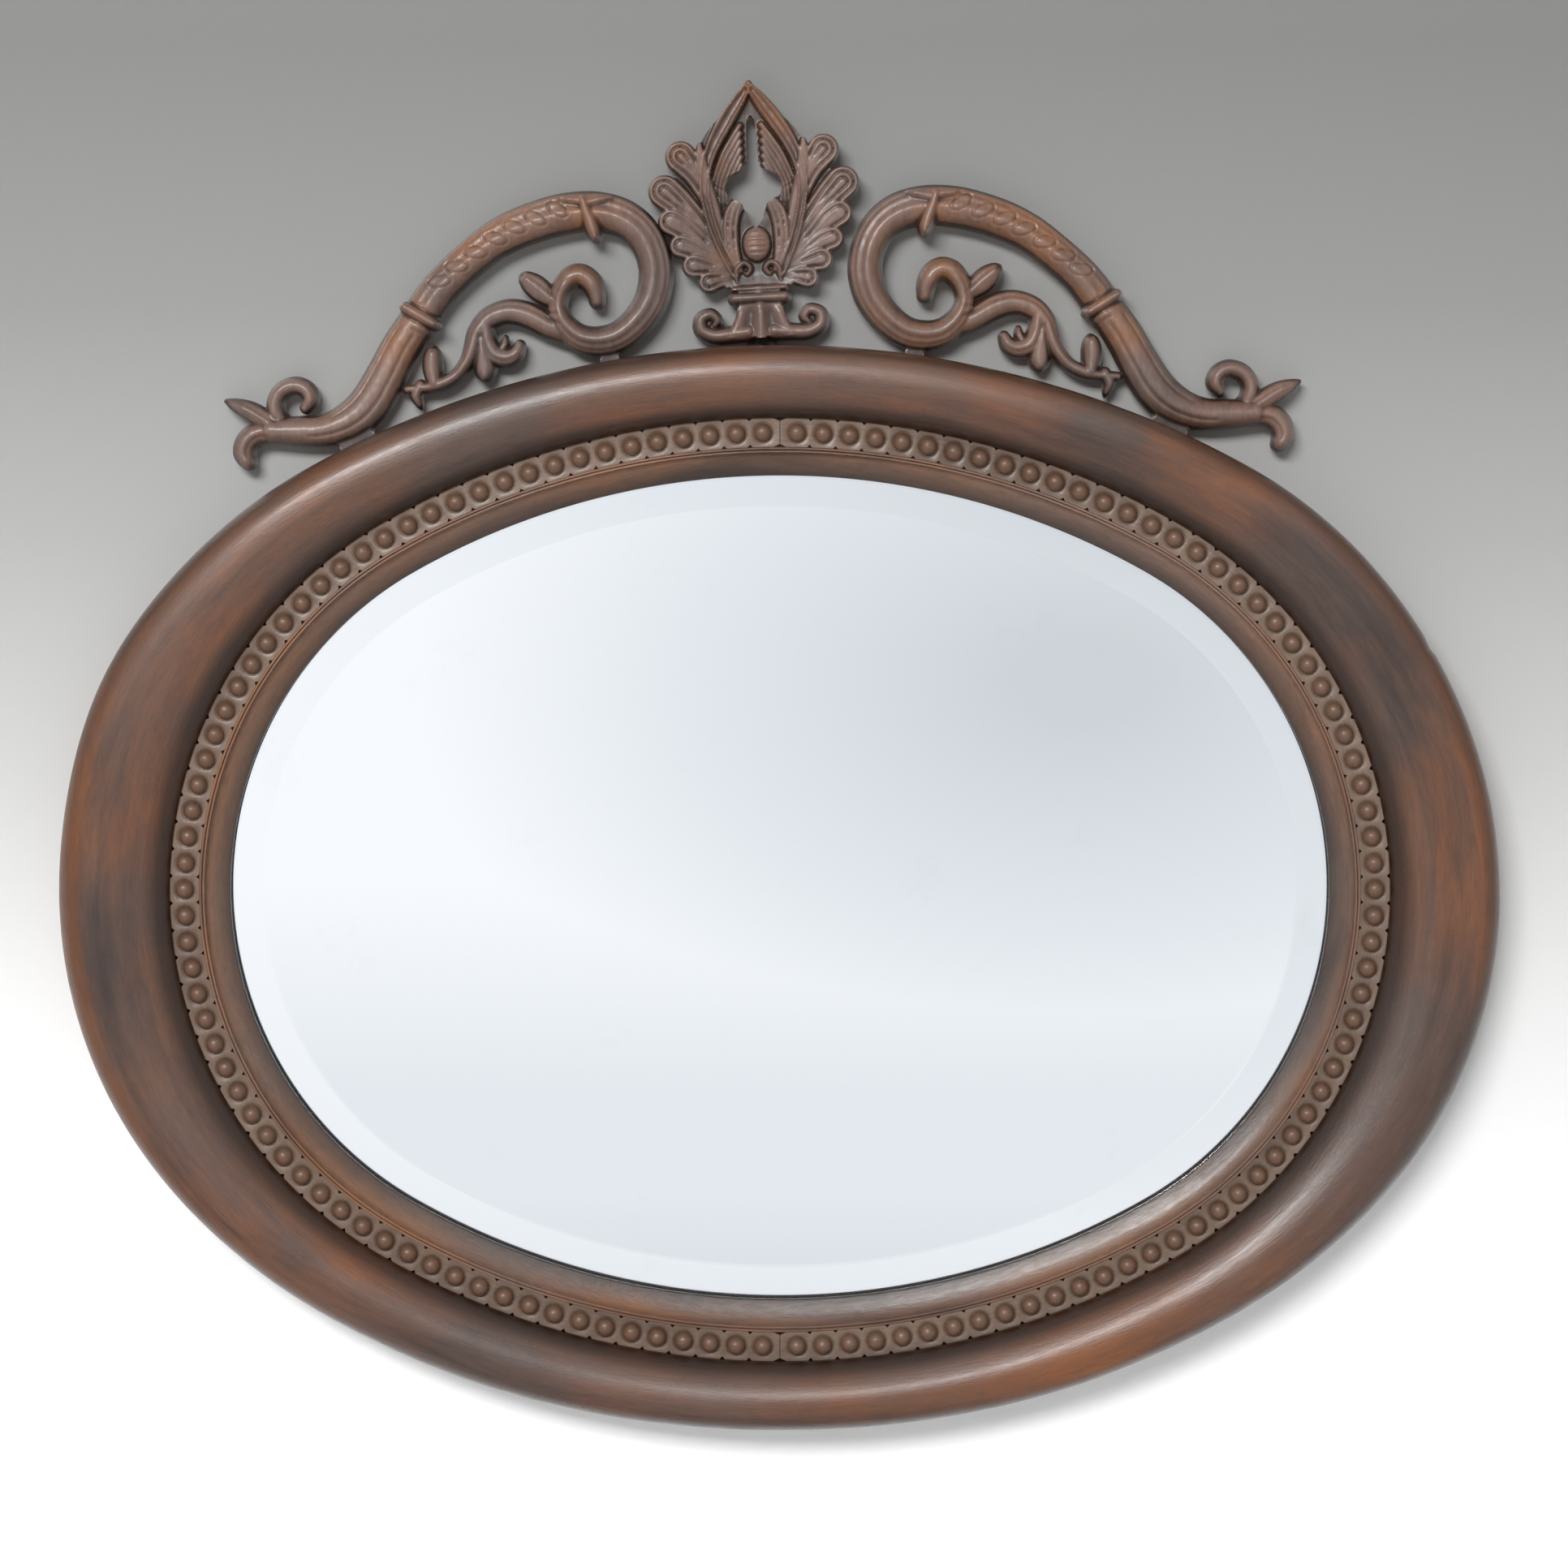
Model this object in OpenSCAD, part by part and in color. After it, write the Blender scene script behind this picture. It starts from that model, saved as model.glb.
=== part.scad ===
// Oval wall mirror with a beaded torus frame and a carved crest.
// Front faces -Y, up is +Z, the wall is the plane y = 0, and the origin is the oval's centre on the wall.

/* [Sight opening] */
// Width of the opening in front of the glass
sight_w = 647; // [620:1:680]
// Height of the opening in front of the glass
sight_h = 485; // [460:1:500]
// Amount by which the radius of the opening's left and right ends is less than half its height
sight_drop = 29; // [24:1:34]

/* [Frame ring] */
// Overall width of the frame
frame_w = 844; // [826:1:866]
// Overall height of the frame without its crest
frame_h = 634; // [621:1:646]
// Amount by which the radius of the frame's left and right ends is less than half its height
frame_drop = 35; // [30:1:40]
// Thickness of the frame from its back to its highest line
frame_t = 44; // [40:1:50]
// Height of the frame's upright side
side_h = 17; // [12:1:22]
// Height of the shelf that carries the beaded strip
shelf_h = 19; // [17:0.5:21]
// Width of the frame's own shelf, outside the slip
shelf_w = 9.5; // [7:0.5:11]

/* [Slip and beads] */
// Width of the sloping slip between the glass and the beaded strip
slip_w = 16.5; // [15:0.5:19]
// Thickness of the slip's lip over the glass
lip_t = 4.4; // [3:0.1:5.5]
// Width of the beaded strip
strip_w = 17; // [15.5:0.5:19]
// Thickness of the beaded strip
strip_t = 6; // [5.5:0.5:7]
// Diameter of a bead
bead_d = 10.8; // [8:0.2:11.4]
// Height of a bead above the strip
bead_rise = 4.8; // [3:0.1:5.2]
// Number of beads in each half run
bead_count = 63; // [50:1:64]
// Distance from a run's end to its first bead
bead_end = 10; // [7:0.5:14]
// Gap where the two half runs meet
run_joint = 0.4; // [0.1:0.1:1]
// Diameter of the ring cut round each bead
bead_ring_d = 13.4; // [11.8:0.2:14]
// Depth of the ring cut round each bead
bead_ring_depth = 0.8; // [0.4:0.1:1.5]
// Gap for glue in the upright joints beside the beaded strips
glue_gap = 0.1; // [0.08:0.01:0.2]

/* [Glass and back] */
// Thickness of the mirror glass
glass_t = 5; // [4:0.5:6]
// Width of the slip's lap over the glass edge
glass_lap = 7.5; // [6:0.5:9]
// Width of the glass bevel
bevel_w = 25.4; // [15:0.2:32]
// Thickness of the glass at its bevelled edge
bevel_edge_t = 2.2; // [1.5:0.1:3]
// Thickness of the liner sheet behind the glass
liner_t = 1.5; // [1:0.1:2]
// Thickness of the backing board
board_t = 4.8; // [3:0.1:5.5]
// Depth of the board below the frame's back
board_recess = 0.2; // [0.1:0.1:1]
// Gap between the glass and the lip
glass_face_clear = 0.2; // [0.1:0.1:0.5]
// Gap round the glass edge in its rebate
glass_side_clear = 1; // [0.5:0.1:1.5]
// Gap round the backing board in the rebate
board_side_clear = 0.5; // [0.3:0.1:0.8]

/* [Turn buttons] */
// Width of a turn button
button_w = 11; // [9:0.5:12]
// Distance between the centres of a button's round ends
button_l = 14; // [12:0.5:16]
// Thickness of a turn button
button_t = 2; // [1.5:0.1:2.2]
// Diameter of a turn button's screw
button_screw_d = 3.4; // [3:0.1:4]
// Length of the button screws in the wood
button_screw_l = 9; // [7:0.5:10]
// Radial clearance of a button on its screw
button_fit = 0.08; // [0.03:0.01:0.1]
// Gap on each face of a button
button_gap = 0.1; // [0.05:0.01:0.2]

/* [Hangers] */
// Height of the ring pins above the oval's centre
hanger_z = 165; // [120:1:190]
// Width of a hanger strap
strap_w = 12; // [10:0.5:14]
// Length of a hanger strap below its pin
strap_l = 31; // [29:1:36]
// Thickness of a hanger strap
strap_t = 1; // [0.8:0.1:1.2]
// Width of the strap's rolled eye
eye_w = 10; // [8:0.5:11]
// Diameter of the ring wire
ring_wire = 2.4; // [2:0.1:2.6]
// Radius of the ring's bow, to the middle of the wire
ring_r = 11; // [10:0.5:13]
// Straight length of the ring's sides
ring_leg = 3; // [2.5:0.5:6]
// Radial clearance of the ring in the strap's eye
ring_fit = 0.08; // [0.03:0.01:0.1]

/* [Bumpers] */
// Diameter of a wall bumper
bumper_d = 14; // [10:1:20]
// Thickness of a bumper, which is also the gap behind the frame
bumper_t = 6; // [5.5:0.1:9]
// Angle of the bumpers from the oval's width
bumper_angle = 52; // [44:1:62]

/* [Crest] */
// Height of the crest above the frame's edge
crest_h = 161; // [142:1:177]
// Turn of the whole crest to the left, as it is fitted
crest_turn = 1.05; // [0:0.05:2]
// Lean of the palmette to the left
palmette_lean = 2; // [0:0.25:3]
// Height of the gap under the palmette's foot
palmette_gap = 7; // [4:0.5:10]
// Thickness of the palmette's ground
palmette_t = 9; // [7:0.5:11]
// Thickness of the palmette's raised ribs
rib_t = 15; // [13:0.5:18]
// Thickness of the scrolls' main stem
stem_t = 17; // [14:0.5:20]
// Thickness of the scrolls' tendrils and leaves
tendril_t = 12.5; // [10:0.5:15]
// Distance along the frame's edge from the middle to a scroll's foot
scroll_foot_x = 90; // [84:1:96]
// Distance along the frame's edge from the middle to the seat of a scroll's tail
scroll_tail_x = 246.5; // [238:0.5:250]
// Width of the plate behind the palmette
palmette_plate_w = 17; // [14:0.5:20]
// Length of the plate behind the palmette
palmette_plate_l = 80; // [74:1:90]
// Length of the palmette's plate on the frame
palmette_plate_low = 34; // [30:1:38]
// Width of the plates behind the scrolls
scroll_plate_w = 12; // [10:0.5:13]
// Length of the plates behind the scrolls
scroll_plate_l = 39; // [36:1:42]
// Length of the scrolls' plates on the frame
scroll_plate_low = 24; // [20:1:26]
// Thickness of the crest plates
plate_t = 2; // [1.5:0.1:2.5]

/* [Screws] */
// Diameter of the crest screws
crest_screw_d = 3.5; // [3:0.1:4]
// Length of the crest screws in the wood
crest_screw_l = 9; // [7:0.5:10]
// Diameter of the hanger screws
hanger_screw_d = 3; // [2.5:0.1:3.5]
// Length of the hanger screws in the wood
hanger_screw_l = 12; // [8:0.5:14]
// Diameter of the screw heads
head_d = 6.6; // [6:0.1:7.5]
// Thickness of the screw heads
head_t = 1.9; // [1.5:0.1:2]
// Width of the slots in the screw heads
slot_w = 1; // [0.6:0.1:1.4]
// Distance from a crest plate's end to its nearest screw in the frame or the palmette
screw_margin = 10; // [8:0.5:12]
// Distance from a scroll plate's upper end to its screw
screw_top_margin = 4.5; // [4:0.5:6]
// Distance between the palmette plate's screws in the frame
screw_pitch = 14; // [12:0.5:16]
// Distance between the palmette plate's screws in the carving
carving_pitch = 20; // [16:0.5:24]
// Radial clearance of a fixed screw in its plate
hole_clear = 0.2; // [0.1:0.05:0.5]

/* [Hidden] */
$fn = 48;

// Colours, as the finish shows them
walnut = "#4a3226";
carved = "#5a4438";
silver = "#e4eaee";
card = "#8c7a5c";
ply = "#b08f62";
steel = "#9a9c9e";
brass = "#a8894a";
felt = "#3c3a38";

// The sight oval is drawn with four arcs: small ends on the left and right, big arcs above and below
sight_a = sight_w / 2;
sight_b = sight_h / 2;
frame_a = frame_w / 2;
frame_b = frame_h / 2;
sight_end_r = sight_b - sight_drop;
frame_end_r = frame_b - frame_drop;

function big_r(a, b, r) = (b * b + (a - r) * (a - r) - r * r) / (2 * (b - r));
function split_angle(a, b, r) = atan2(big_r(a, b, r) - b, a - r);

// Point of a four-arc oval whose outward normal points at angle t
function oval_point(a, b, r, t) =
    let (k = big_r(a, b, r), in_end = abs(sin(t)) < sin(split_angle(a, b, r)))
    in_end ? [sign(cos(t)) * (a - r) + r * cos(t), r * sin(t)]
           : [k * cos(t), k * sin(t) - sign(sin(t)) * (k - b)];

// Offsets outward from the sight edge
d_strip_in = slip_w;
d_strip_out = slip_w + strip_w;
d_seam = d_strip_out - shelf_w;
d_glass = glass_lap;
d_rebate = glass_lap + glass_side_clear;
d_board = d_rebate - board_side_clear;
d_bevel = glass_lap - bevel_w;
d_beads = slip_w + strip_w / 2;
d_pivot = (d_rebate + d_seam) / 2;

// Heights above the frame's back
h_liner = board_recess + board_t;
h_glass = h_liner + liner_t;
h_glass_front = h_glass + glass_t;
h_lip = h_glass_front + glass_face_clear;
h_strip = shelf_h + strip_t;
h_bead = h_strip + bead_rise - bead_d / 2;

sight_big_r = big_r(sight_a, sight_b, sight_end_r);
sight_split = split_angle(sight_a, sight_b, sight_end_r);
sight_ex = sight_a - sight_end_r;
sight_ey = sight_big_r - sight_b;
frame_big_r = big_r(frame_a, frame_b, frame_end_r);
frame_ey = frame_big_r - frame_b;

// Stands the work up: drawn flat with its back on z = 0, it goes on its bumpers against the wall
module stand() {
    translate([0, -bumper_t, 0]) rotate([90, 0, 0]) children();
}

// One arc of a moulding round the sight oval, from angle t0 to angle t1
module moulding_arc(centre, radius, t0, t1) {
    translate(centre) rotate([0, 0, t0])
        rotate_extrude(angle = t1 - t0, $fn = 180) translate([radius, 0]) children();
}

// Angle by which the end arcs run on past the points where the arcs meet
ARC_LAP = 0.2;

// Whole moulding round the sight oval, whose section is drawn with x as the offset from the sight edge
module full_moulding() {
    end = sight_split + ARC_LAP;
    moulding_arc([0, -sight_ey, 0], sight_big_r, sight_split, 180 - sight_split) children();
    moulding_arc([0, sight_ey, 0], sight_big_r, sight_split - 180, -sight_split) children();
    moulding_arc([sight_ex, 0, 0], sight_end_r, -end, end) children();
    moulding_arc([-sight_ex, 0, 0], sight_end_r, 180 - end, 180 + end) children();
}

// Points round an oval: as many in each small arc as in each big one, counted from the right
RING_STEPS = 192;
QUARTER = RING_STEPS / 4;
function ring_angle(i) =
    i < 0 ? -ring_angle(-i)
    : i > QUARTER ? 180 - ring_angle(2 * QUARTER - i)
    : i < QUARTER / 2 ? sight_split * 2 * i / QUARTER
    : sight_split + (90 - sight_split) * (2 * i / QUARTER - 1);
function sight_point(d, i) = oval_point(sight_a + d, sight_b + d, sight_end_r + d, ring_angle(i));
function sight_ring(d) = [for (i = [0:RING_STEPS - 1]) sight_point(d, i)];

// Flat plate, t thick, whose outline is the sight oval grown by d
module sight_plate(d, t) {
    linear_extrude(t) polygon(sight_ring(d));
}

// Lengths of the arcs of the sight oval grown by d
function big_quarter(d) = (sight_big_r + d) * (90 - sight_split) * PI / 180;
function end_arc(d) = (sight_end_r + d) * 2 * sight_split * PI / 180;
function half_length(d) = 2 * big_quarter(d) + end_arc(d);

// Normal angle and place at length s from the top, down the right half
function angle_at(d, s) =
    s < big_quarter(d) ? 90 - s / (sight_big_r + d) * 180 / PI
    : s < big_quarter(d) + end_arc(d)
        ? sight_split - (s - big_quarter(d)) / (sight_end_r + d) * 180 / PI
        : -90 + (half_length(d) - s) / (sight_big_r + d) * 180 / PI;
function place_at(d, s) = oval_point(sight_a + d, sight_b + d, sight_end_r + d, angle_at(d, s));

// Screw with a slotted dome head, its seat on z = 0 and its shank upward
module screw(d, l) {
    cylinder(d = d, h = l);
    difference() {
        rotate([180, 0, 0]) rotate_extrude() polygon([
            [0, 0], [head_d / 2, 0], [head_d / 2, head_t * 0.35],
            [head_d * 0.42, head_t * 0.75], [head_d * 0.26, head_t], [0, head_t]
        ]);
        translate([-head_d, -slot_w / 2, -head_t - 1]) cube([2 * head_d, slot_w, 1 + head_t * 0.45]);
    }
}

// Smooth curve through chosen points, each a list of numbers
function between(a, b, c, d, t) =
    0.5 * (2 * b + (c - a) * t + (2 * a - 5 * b + 4 * c - d) * t * t + (3 * b - a - 3 * c + d) * t * t * t);
function smooth(pts, n) = let (last = len(pts) - 1) [
    for (i = [0:last - 1]) for (j = [0:n - 1])
        between(pts[max(i - 1, 0)], pts[i], pts[i + 1], pts[min(i + 2, last)], j / n),
    pts[last]
];

// Carved stem along a route of [x, y, width], with an oval section of thickness t
module stem(route, t, steps = 3, sides = 8) {
    path = smooth(route, steps);
    last = len(path) - 1;
    rings = [for (i = [0:last])
        let (a = path[max(i - 1, 0)], b = path[min(i + 1, last)], p = path[i],
             run = norm([b[0] - a[0], b[1] - a[1]]), side = [a[1] - b[1], b[0] - a[0]] / run,
             thick = min(t, p[2] * 1.1))
        for (k = [0:sides - 1])
            let (q = (k + 0.5) * 360 / sides)
            [p[0] + side[0] * cos(q) * p[2] / 2, p[1] + side[1] * cos(q) * p[2] / 2,
             t / 2 - 1 + (thick / 2 + 0.5) * sin(q)]];
    polyhedron(points = rings, faces = concat(
        [[for (k = [0:sides - 1]) k]],
        [[for (k = [sides - 1:-1:0]) last * sides + k]],
        [for (i = [0:last - 1]) for (k = [0:sides - 1]) for (half = [0, 1])
            let (a = i * sides + k, b = i * sides + (k + 1) % sides)
            half == 0 ? [a, a + sides, b + sides] : [a, b + sides, b]]
    ));
}

// Section of the ring: share of the way from the strip to the side, and share of the frame's thickness
RING_SECTION = [
    [1, 0.53], [0.985, 0.66], [0.95, 0.77], [0.89, 0.87], [0.8, 0.95], [0.69, 0.99], [0.57, 1],
    [0.45, 0.985], [0.33, 0.94], [0.22, 0.87], [0.13, 0.79], [0.06, 0.71], [0.015, 0.64], [0, 0.6]
];

// Side faces between two closed rings of m points, which start at points a and b
function ring_faces(a, b, m) = [
    for (k = [0:m - 1]) for (half = [0, 1])
        let (l = (k + 1) % m)
        half == 0 ? [a + k, b + k, b + l] : [a + k, b + l, a + l]
];

// Frame before its holes; the share -1 stands for the seam between the frame's shelf and the slip
module frame_blank() {
    d_in = d_strip_out + glue_gap;
    d_foot = d_seam + glue_gap;
    section = concat(
        [[-1, shelf_h], [0, shelf_h]],
        [for (k = [len(RING_SECTION) - 1:-1:0]) [RING_SECTION[k][0], RING_SECTION[k][1] * frame_t]],
        [[1, side_h], [1, 0], [-1, 0]]
    );
    m = len(section);
    points = [for (i = [0:RING_STEPS - 1])
        let (inner = sight_point(d_in, i), outer = oval_point(frame_a, frame_b, frame_end_r, ring_angle(i)))
        for (p = section)
            let (q = p[0] < 0 ? sight_point(d_foot, i) : inner + p[0] * (outer - inner)) [q[0], q[1], p[1]]];
    polyhedron(points = points, faces = [
        for (i = [0:RING_STEPS - 1]) each ring_faces(i * m, (i + 1) % RING_STEPS * m, m)]);
}

// Angle at the centre of the frame's top arc for a length x along the edge
function edge_angle(x) = x / frame_big_r * 180 / PI;

// Sets its children out along the frame's top arc, at angle t from the middle, with y = 0 on the edge
module on_top_arc(t) {
    translate([0, -frame_ey, 0]) rotate([0, 0, -t]) translate([0, frame_big_r, 0]) children();
}

// Turns the crest as it is fitted, about the centre of the frame's top arc
module on_crest() {
    translate([0, -frame_ey, 0]) rotate([0, 0, crest_turn]) translate([0, frame_big_r, 0]) children();
}

module outer_frame() {
    color(walnut) stand() difference() {
        frame_blank();
        hanger_bores();
        crest_frame_bores();
    }
}

// Slip
FILLET_W = 1.3;
FILLET_STEP = 0.8;

module sight_slip() {
    lip = h_lip + lip_t;
    top = h_strip + FILLET_STEP;
    hollow_w = slip_w - 2.4 * FILLET_W - 1;
    hollow_h = h_strip - FILLET_STEP - lip;
    hollow = [for (q = [0:10:90]) [1 + hollow_w * (1 - cos(q)), lip + hollow_h * (1 - sqrt(1 - pow(sin(q / 2) * 1.41, 2)))]];
    color(walnut) stand() difference() {
        full_moulding() polygon(concat(
            [[d_rebate, 0], [d_seam, 0], [d_seam, shelf_h], [d_strip_in, shelf_h],
             [d_strip_in, top], [d_strip_in - FILLET_W, top],
             [d_strip_in - 1.2 * FILLET_W, h_strip - FILLET_STEP],
             [d_strip_in - 1.4 * FILLET_W, h_strip],
             [d_strip_in - 2.4 * FILLET_W, h_strip]],
            [for (i = [len(hollow) - 1:-1:0]) hollow[i]],
            [[0, lip - 0.8], [0, h_lip + 0.4], [0.4, h_lip], [d_rebate, h_lip]]
        ));
        for (i = [0:7]) at_button(i) cylinder(d = button_screw_d, h = button_screw_l);
    }
}

// Beaded strip: the right half run, and its mirror image on the left
module bead_run() {
    span = half_length(d_beads) - 2 * bead_end;
    d_in = d_strip_in + glue_gap;
    difference() {
        translate([0, 0, shelf_h]) linear_extrude(strip_t) polygon(concat(
            [for (i = [-QUARTER:QUARTER]) sight_point(d_strip_out, i)],
            [for (i = [QUARTER:-1:-QUARTER]) sight_point(d_in, i)]
        ));
        for (i = [0:bead_count - 1]) at_bead(i, span)
            translate([0, 0, h_strip - bead_ring_depth]) cylinder(d = bead_ring_d, h = bead_ring_depth + 1, $fn = 20);
        translate([-strip_w, -sight_h, 0]) cube([strip_w + run_joint / 2, 2 * sight_h, 2 * frame_t]);
    }
    for (i = [0:bead_count - 1]) at_bead(i, span) translate([0, 0, h_bead]) sphere(d = bead_d, $fn = 16);
}

module at_bead(i, span) {
    p = place_at(d_beads, bead_end + i * span / (bead_count - 1));
    translate([p[0], p[1], 0]) children();
}

module bead_run_right() {
    color(carved) stand() bead_run();
}

module bead_run_left() {
    color(carved) stand() mirror([1, 0, 0]) bead_run();
}

// Glass, liner and board, which lie in the rebate behind the slip
module mirror_glass() {
    levels = [[d_glass, h_glass], [d_glass, h_glass + bevel_edge_t], [d_bevel, h_glass_front]];
    top = RING_STEPS * (len(levels) - 1);
    color(silver) stand() polyhedron(
        points = [for (v = levels) for (p = sight_ring(v[0])) [p[0], p[1], v[1]]],
        faces = concat(
            [[for (i = [0:RING_STEPS - 1]) i], [for (i = [RING_STEPS - 1:-1:0]) top + i]],
            ring_faces(0, RING_STEPS, RING_STEPS),
            ring_faces(RING_STEPS, top, RING_STEPS)
        )
    );
}

module liner_sheet() {
    color(card) stand() translate([0, 0, h_liner]) sight_plate(d_glass, liner_t);
}

module backing_board() {
    color(ply) stand() translate([0, 0, board_recess]) sight_plate(d_board, board_t);
}

// Turn buttons 0 to 3 go down the right side, and 4 to 7 down the left
module at_button(i) {
    s = (i % 4 + 0.5) / 4 * half_length(d_pivot);
    p = place_at(d_pivot, s);
    mirror([i < 4 ? 0 : 1, 0, 0]) translate([p[0], p[1], 0]) rotate([0, 0, angle_at(d_pivot, s)]) children();
}

module turn_button(i) {
    color(brass) stand() at_button(i) translate([0, 0, -button_gap - button_t]) difference() {
        union() {
            cylinder(d = button_w, h = button_t);
            translate([-button_l, -button_w / 2, 0]) cube([button_l, button_w, button_t]);
            translate([-button_l, 0, 0]) cylinder(d = button_w, h = button_t);
        }
        translate([0, 0, -1]) cylinder(d = button_screw_d + 2 * button_fit, h = button_t + 2);
    }
}

module button_screws() {
    seat = button_t + 2 * button_gap;
    color(steel) stand() for (i = [0:7]) at_button(i)
        translate([0, 0, -seat]) screw(button_screw_d, seat + button_screw_l);
}

// Hangers, one each side, midway across the frame's back
function end_x(a, r, z) = a - r + sqrt(r * r - z * z);
hanger_x = (end_x(frame_a, frame_end_r, hanger_z) + end_x(sight_a + d_seam, sight_end_r + d_seam, hanger_z)) / 2;
eye_r = ring_wire / 2 + ring_fit;
pin_depth = eye_r + strap_t;
HANGER_SCREWS = [8, 24];

module at_hanger(side) {
    translate([side * hanger_x, hanger_z, 0]) children();
}

module hanger_bores() {
    for (side = [-1, 1]) at_hanger(side) for (y = HANGER_SCREWS)
        translate([0, -y, 0]) cylinder(d = hanger_screw_d, h = hanger_screw_l);
}

module hanger_strap(side) {
    color(steel) stand() at_hanger(side) difference() {
        union() {
            translate([-strap_w / 2, -strap_l, -strap_t]) cube([strap_w, strap_l, strap_t]);
            translate([-eye_w / 2, 0, -pin_depth]) rotate([0, 90, 0]) cylinder(r = pin_depth, h = eye_w);
        }
        translate([-strap_w, 0, -pin_depth]) rotate([0, 90, 0]) cylinder(r = eye_r, h = 2 * strap_w);
        for (y = HANGER_SCREWS) translate([0, -y, -strap_t - 1])
            cylinder(d = hanger_screw_d + 2 * hole_clear, h = strap_t + 2);
    }
}

module hanger_ring(side) {
    color(steel) stand() at_hanger(side) translate([0, 0, -pin_depth]) {
        rotate([0, 90, 0]) cylinder(d = ring_wire, h = 2 * ring_r, center = true);
        for (leg = [-1, 1]) translate([leg * ring_r, 0, 0]) {
            sphere(d = ring_wire);
            rotate([90, 0, 0]) cylinder(d = ring_wire, h = ring_leg);
        }
        translate([0, -ring_leg, 0]) rotate([0, 0, 180])
            rotate_extrude(angle = 180) translate([ring_r, 0]) circle(d = ring_wire, $fn = 32);
    }
}

module hanger_screws() {
    color(steel) stand() for (side = [-1, 1]) at_hanger(side) for (y = HANGER_SCREWS)
        translate([0, -y, -strap_t]) screw(hanger_screw_d, strap_t + hanger_screw_l);
}

// Bumpers, midway across the frame's back
module wall_bumpers() {
    color(felt) stand() for (t = [bumper_angle, 180 - bumper_angle, 180 + bumper_angle, -bumper_angle]) {
        inner = oval_point(sight_a + d_seam, sight_b + d_seam, sight_end_r + d_seam, t);
        outer = oval_point(frame_a, frame_b, frame_end_r, t);
        p = 0.35 * inner + 0.65 * outer;
        translate([p[0], p[1], -bumper_t]) cylinder(d = bumper_d, h = bumper_t);
    }
}

// Crest plates and screws, placed by their distance above the frame's edge
palmette_plate_high = palmette_plate_l - palmette_plate_low;
PALMETTE_SCREWS = [
    screw_margin - palmette_plate_low, screw_margin - palmette_plate_low + screw_pitch,
    palmette_plate_high - screw_margin - carving_pitch, palmette_plate_high - screw_margin
];
SCROLL_SCREWS = [screw_margin - scroll_plate_low, scroll_plate_l - scroll_plate_low - screw_top_margin];
foot_turn = edge_angle(scroll_foot_x);
tail_turn = edge_angle(scroll_tail_x);

module at_scroll_seats() {
    for (side = [-1, 1]) for (t = [foot_turn, tail_turn])
        on_top_arc(side * t - crest_turn) children();
}

module crest_bores(palmette, scrolls) {
    on_crest() for (y = palmette) translate([0, y, 0]) cylinder(d = crest_screw_d, h = crest_screw_l);
    at_scroll_seats() for (y = scrolls) translate([0, y, 0]) cylinder(d = crest_screw_d, h = crest_screw_l);
}

module crest_frame_bores() {
    crest_bores([for (y = PALMETTE_SCREWS) if (y < 0) y], [for (y = SCROLL_SCREWS) if (y < 0) y]);
}

module crest_carving_bores() {
    crest_bores([for (y = PALMETTE_SCREWS) if (y > 0) y], [for (y = SCROLL_SCREWS) if (y > 0) y]);
}

module plate(w, l, below, holes) {
    translate([0, 0, -plate_t]) difference() {
        translate([-w / 2, -below, 0]) cube([w, l, plate_t]);
        for (y = holes) translate([0, y, -1]) cylinder(d = crest_screw_d + 2 * hole_clear, h = plate_t + 2);
    }
}

module palmette_plate() {
    color("#2e2b2a") stand() on_crest() 
        plate(palmette_plate_w, palmette_plate_l, palmette_plate_low, PALMETTE_SCREWS);
}

module scroll_plates() {
    color("#2e2b2a") stand() at_scroll_seats()
        plate(scroll_plate_w, scroll_plate_l, scroll_plate_low, SCROLL_SCREWS);
}

module crest_screws() {
    color(steel) stand() {
        on_crest() for (y = PALMETTE_SCREWS)
            translate([0, y, -plate_t]) screw(crest_screw_d, plate_t + crest_screw_l);
        at_scroll_seats() for (y = SCROLL_SCREWS)
            translate([0, y, -plate_t]) screw(crest_screw_d, plate_t + crest_screw_l);
    }
}

// Height of the crest and radius of the edge under it at which the crest's routes are drawn
DRAWN_H = 161;
DRAWN_R = 579.5;
// Height over the edge from which the routes are measured
DRAWN_LIFT = 2;
crest_k = crest_h / DRAWN_H;

// Carries a route's point onto the frame's own top edge: its length along the edge and its height above it
function on_edge(p) =
    let (turn = atan2(p[0], p[1] + DRAWN_LIFT + DRAWN_R) * DRAWN_R * crest_k / frame_big_r,
         r = frame_big_r + crest_k * (norm([p[0], p[1] + DRAWN_LIFT + DRAWN_R]) - DRAWN_R))
    [r * sin(turn), r * cos(turn) - frame_big_r, p[2] * crest_k];

// Routes of the right scroll, as [x, y, width] from the crest's middle and the frame's top edge
MAIN_STEM = [
    [97, 29, 10], [98, 35, 12], [101, 40.5, 14], [107, 44, 14.5], [113.5, 42, 14], [118.5, 35, 12.5],
    [120.5, 27, 12], [119, 19.5, 13], [114.5, 12.5, 15], [106.5, 6.5, 17], [96, 4.8, 18.2],
    [84.5, 7.6, 18.8], [73.5, 16.3, 19.5], [65.5, 28, 20.2], [62, 41.5, 20.8], [62.8, 53.2, 20.8],
    [67, 64.3, 21.3], [73.8, 72.8, 22], [82.8, 78.4, 23], [93.5, 81.3, 23.7], [104, 82, 24],
    [117, 80.5, 24.5], [131, 77, 24], [146, 71.5, 23.5], [160, 64, 22.5], [174, 53, 22],
    [187, 41, 22], [196, 30, 22.5], [204, 17, 23]
];
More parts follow.
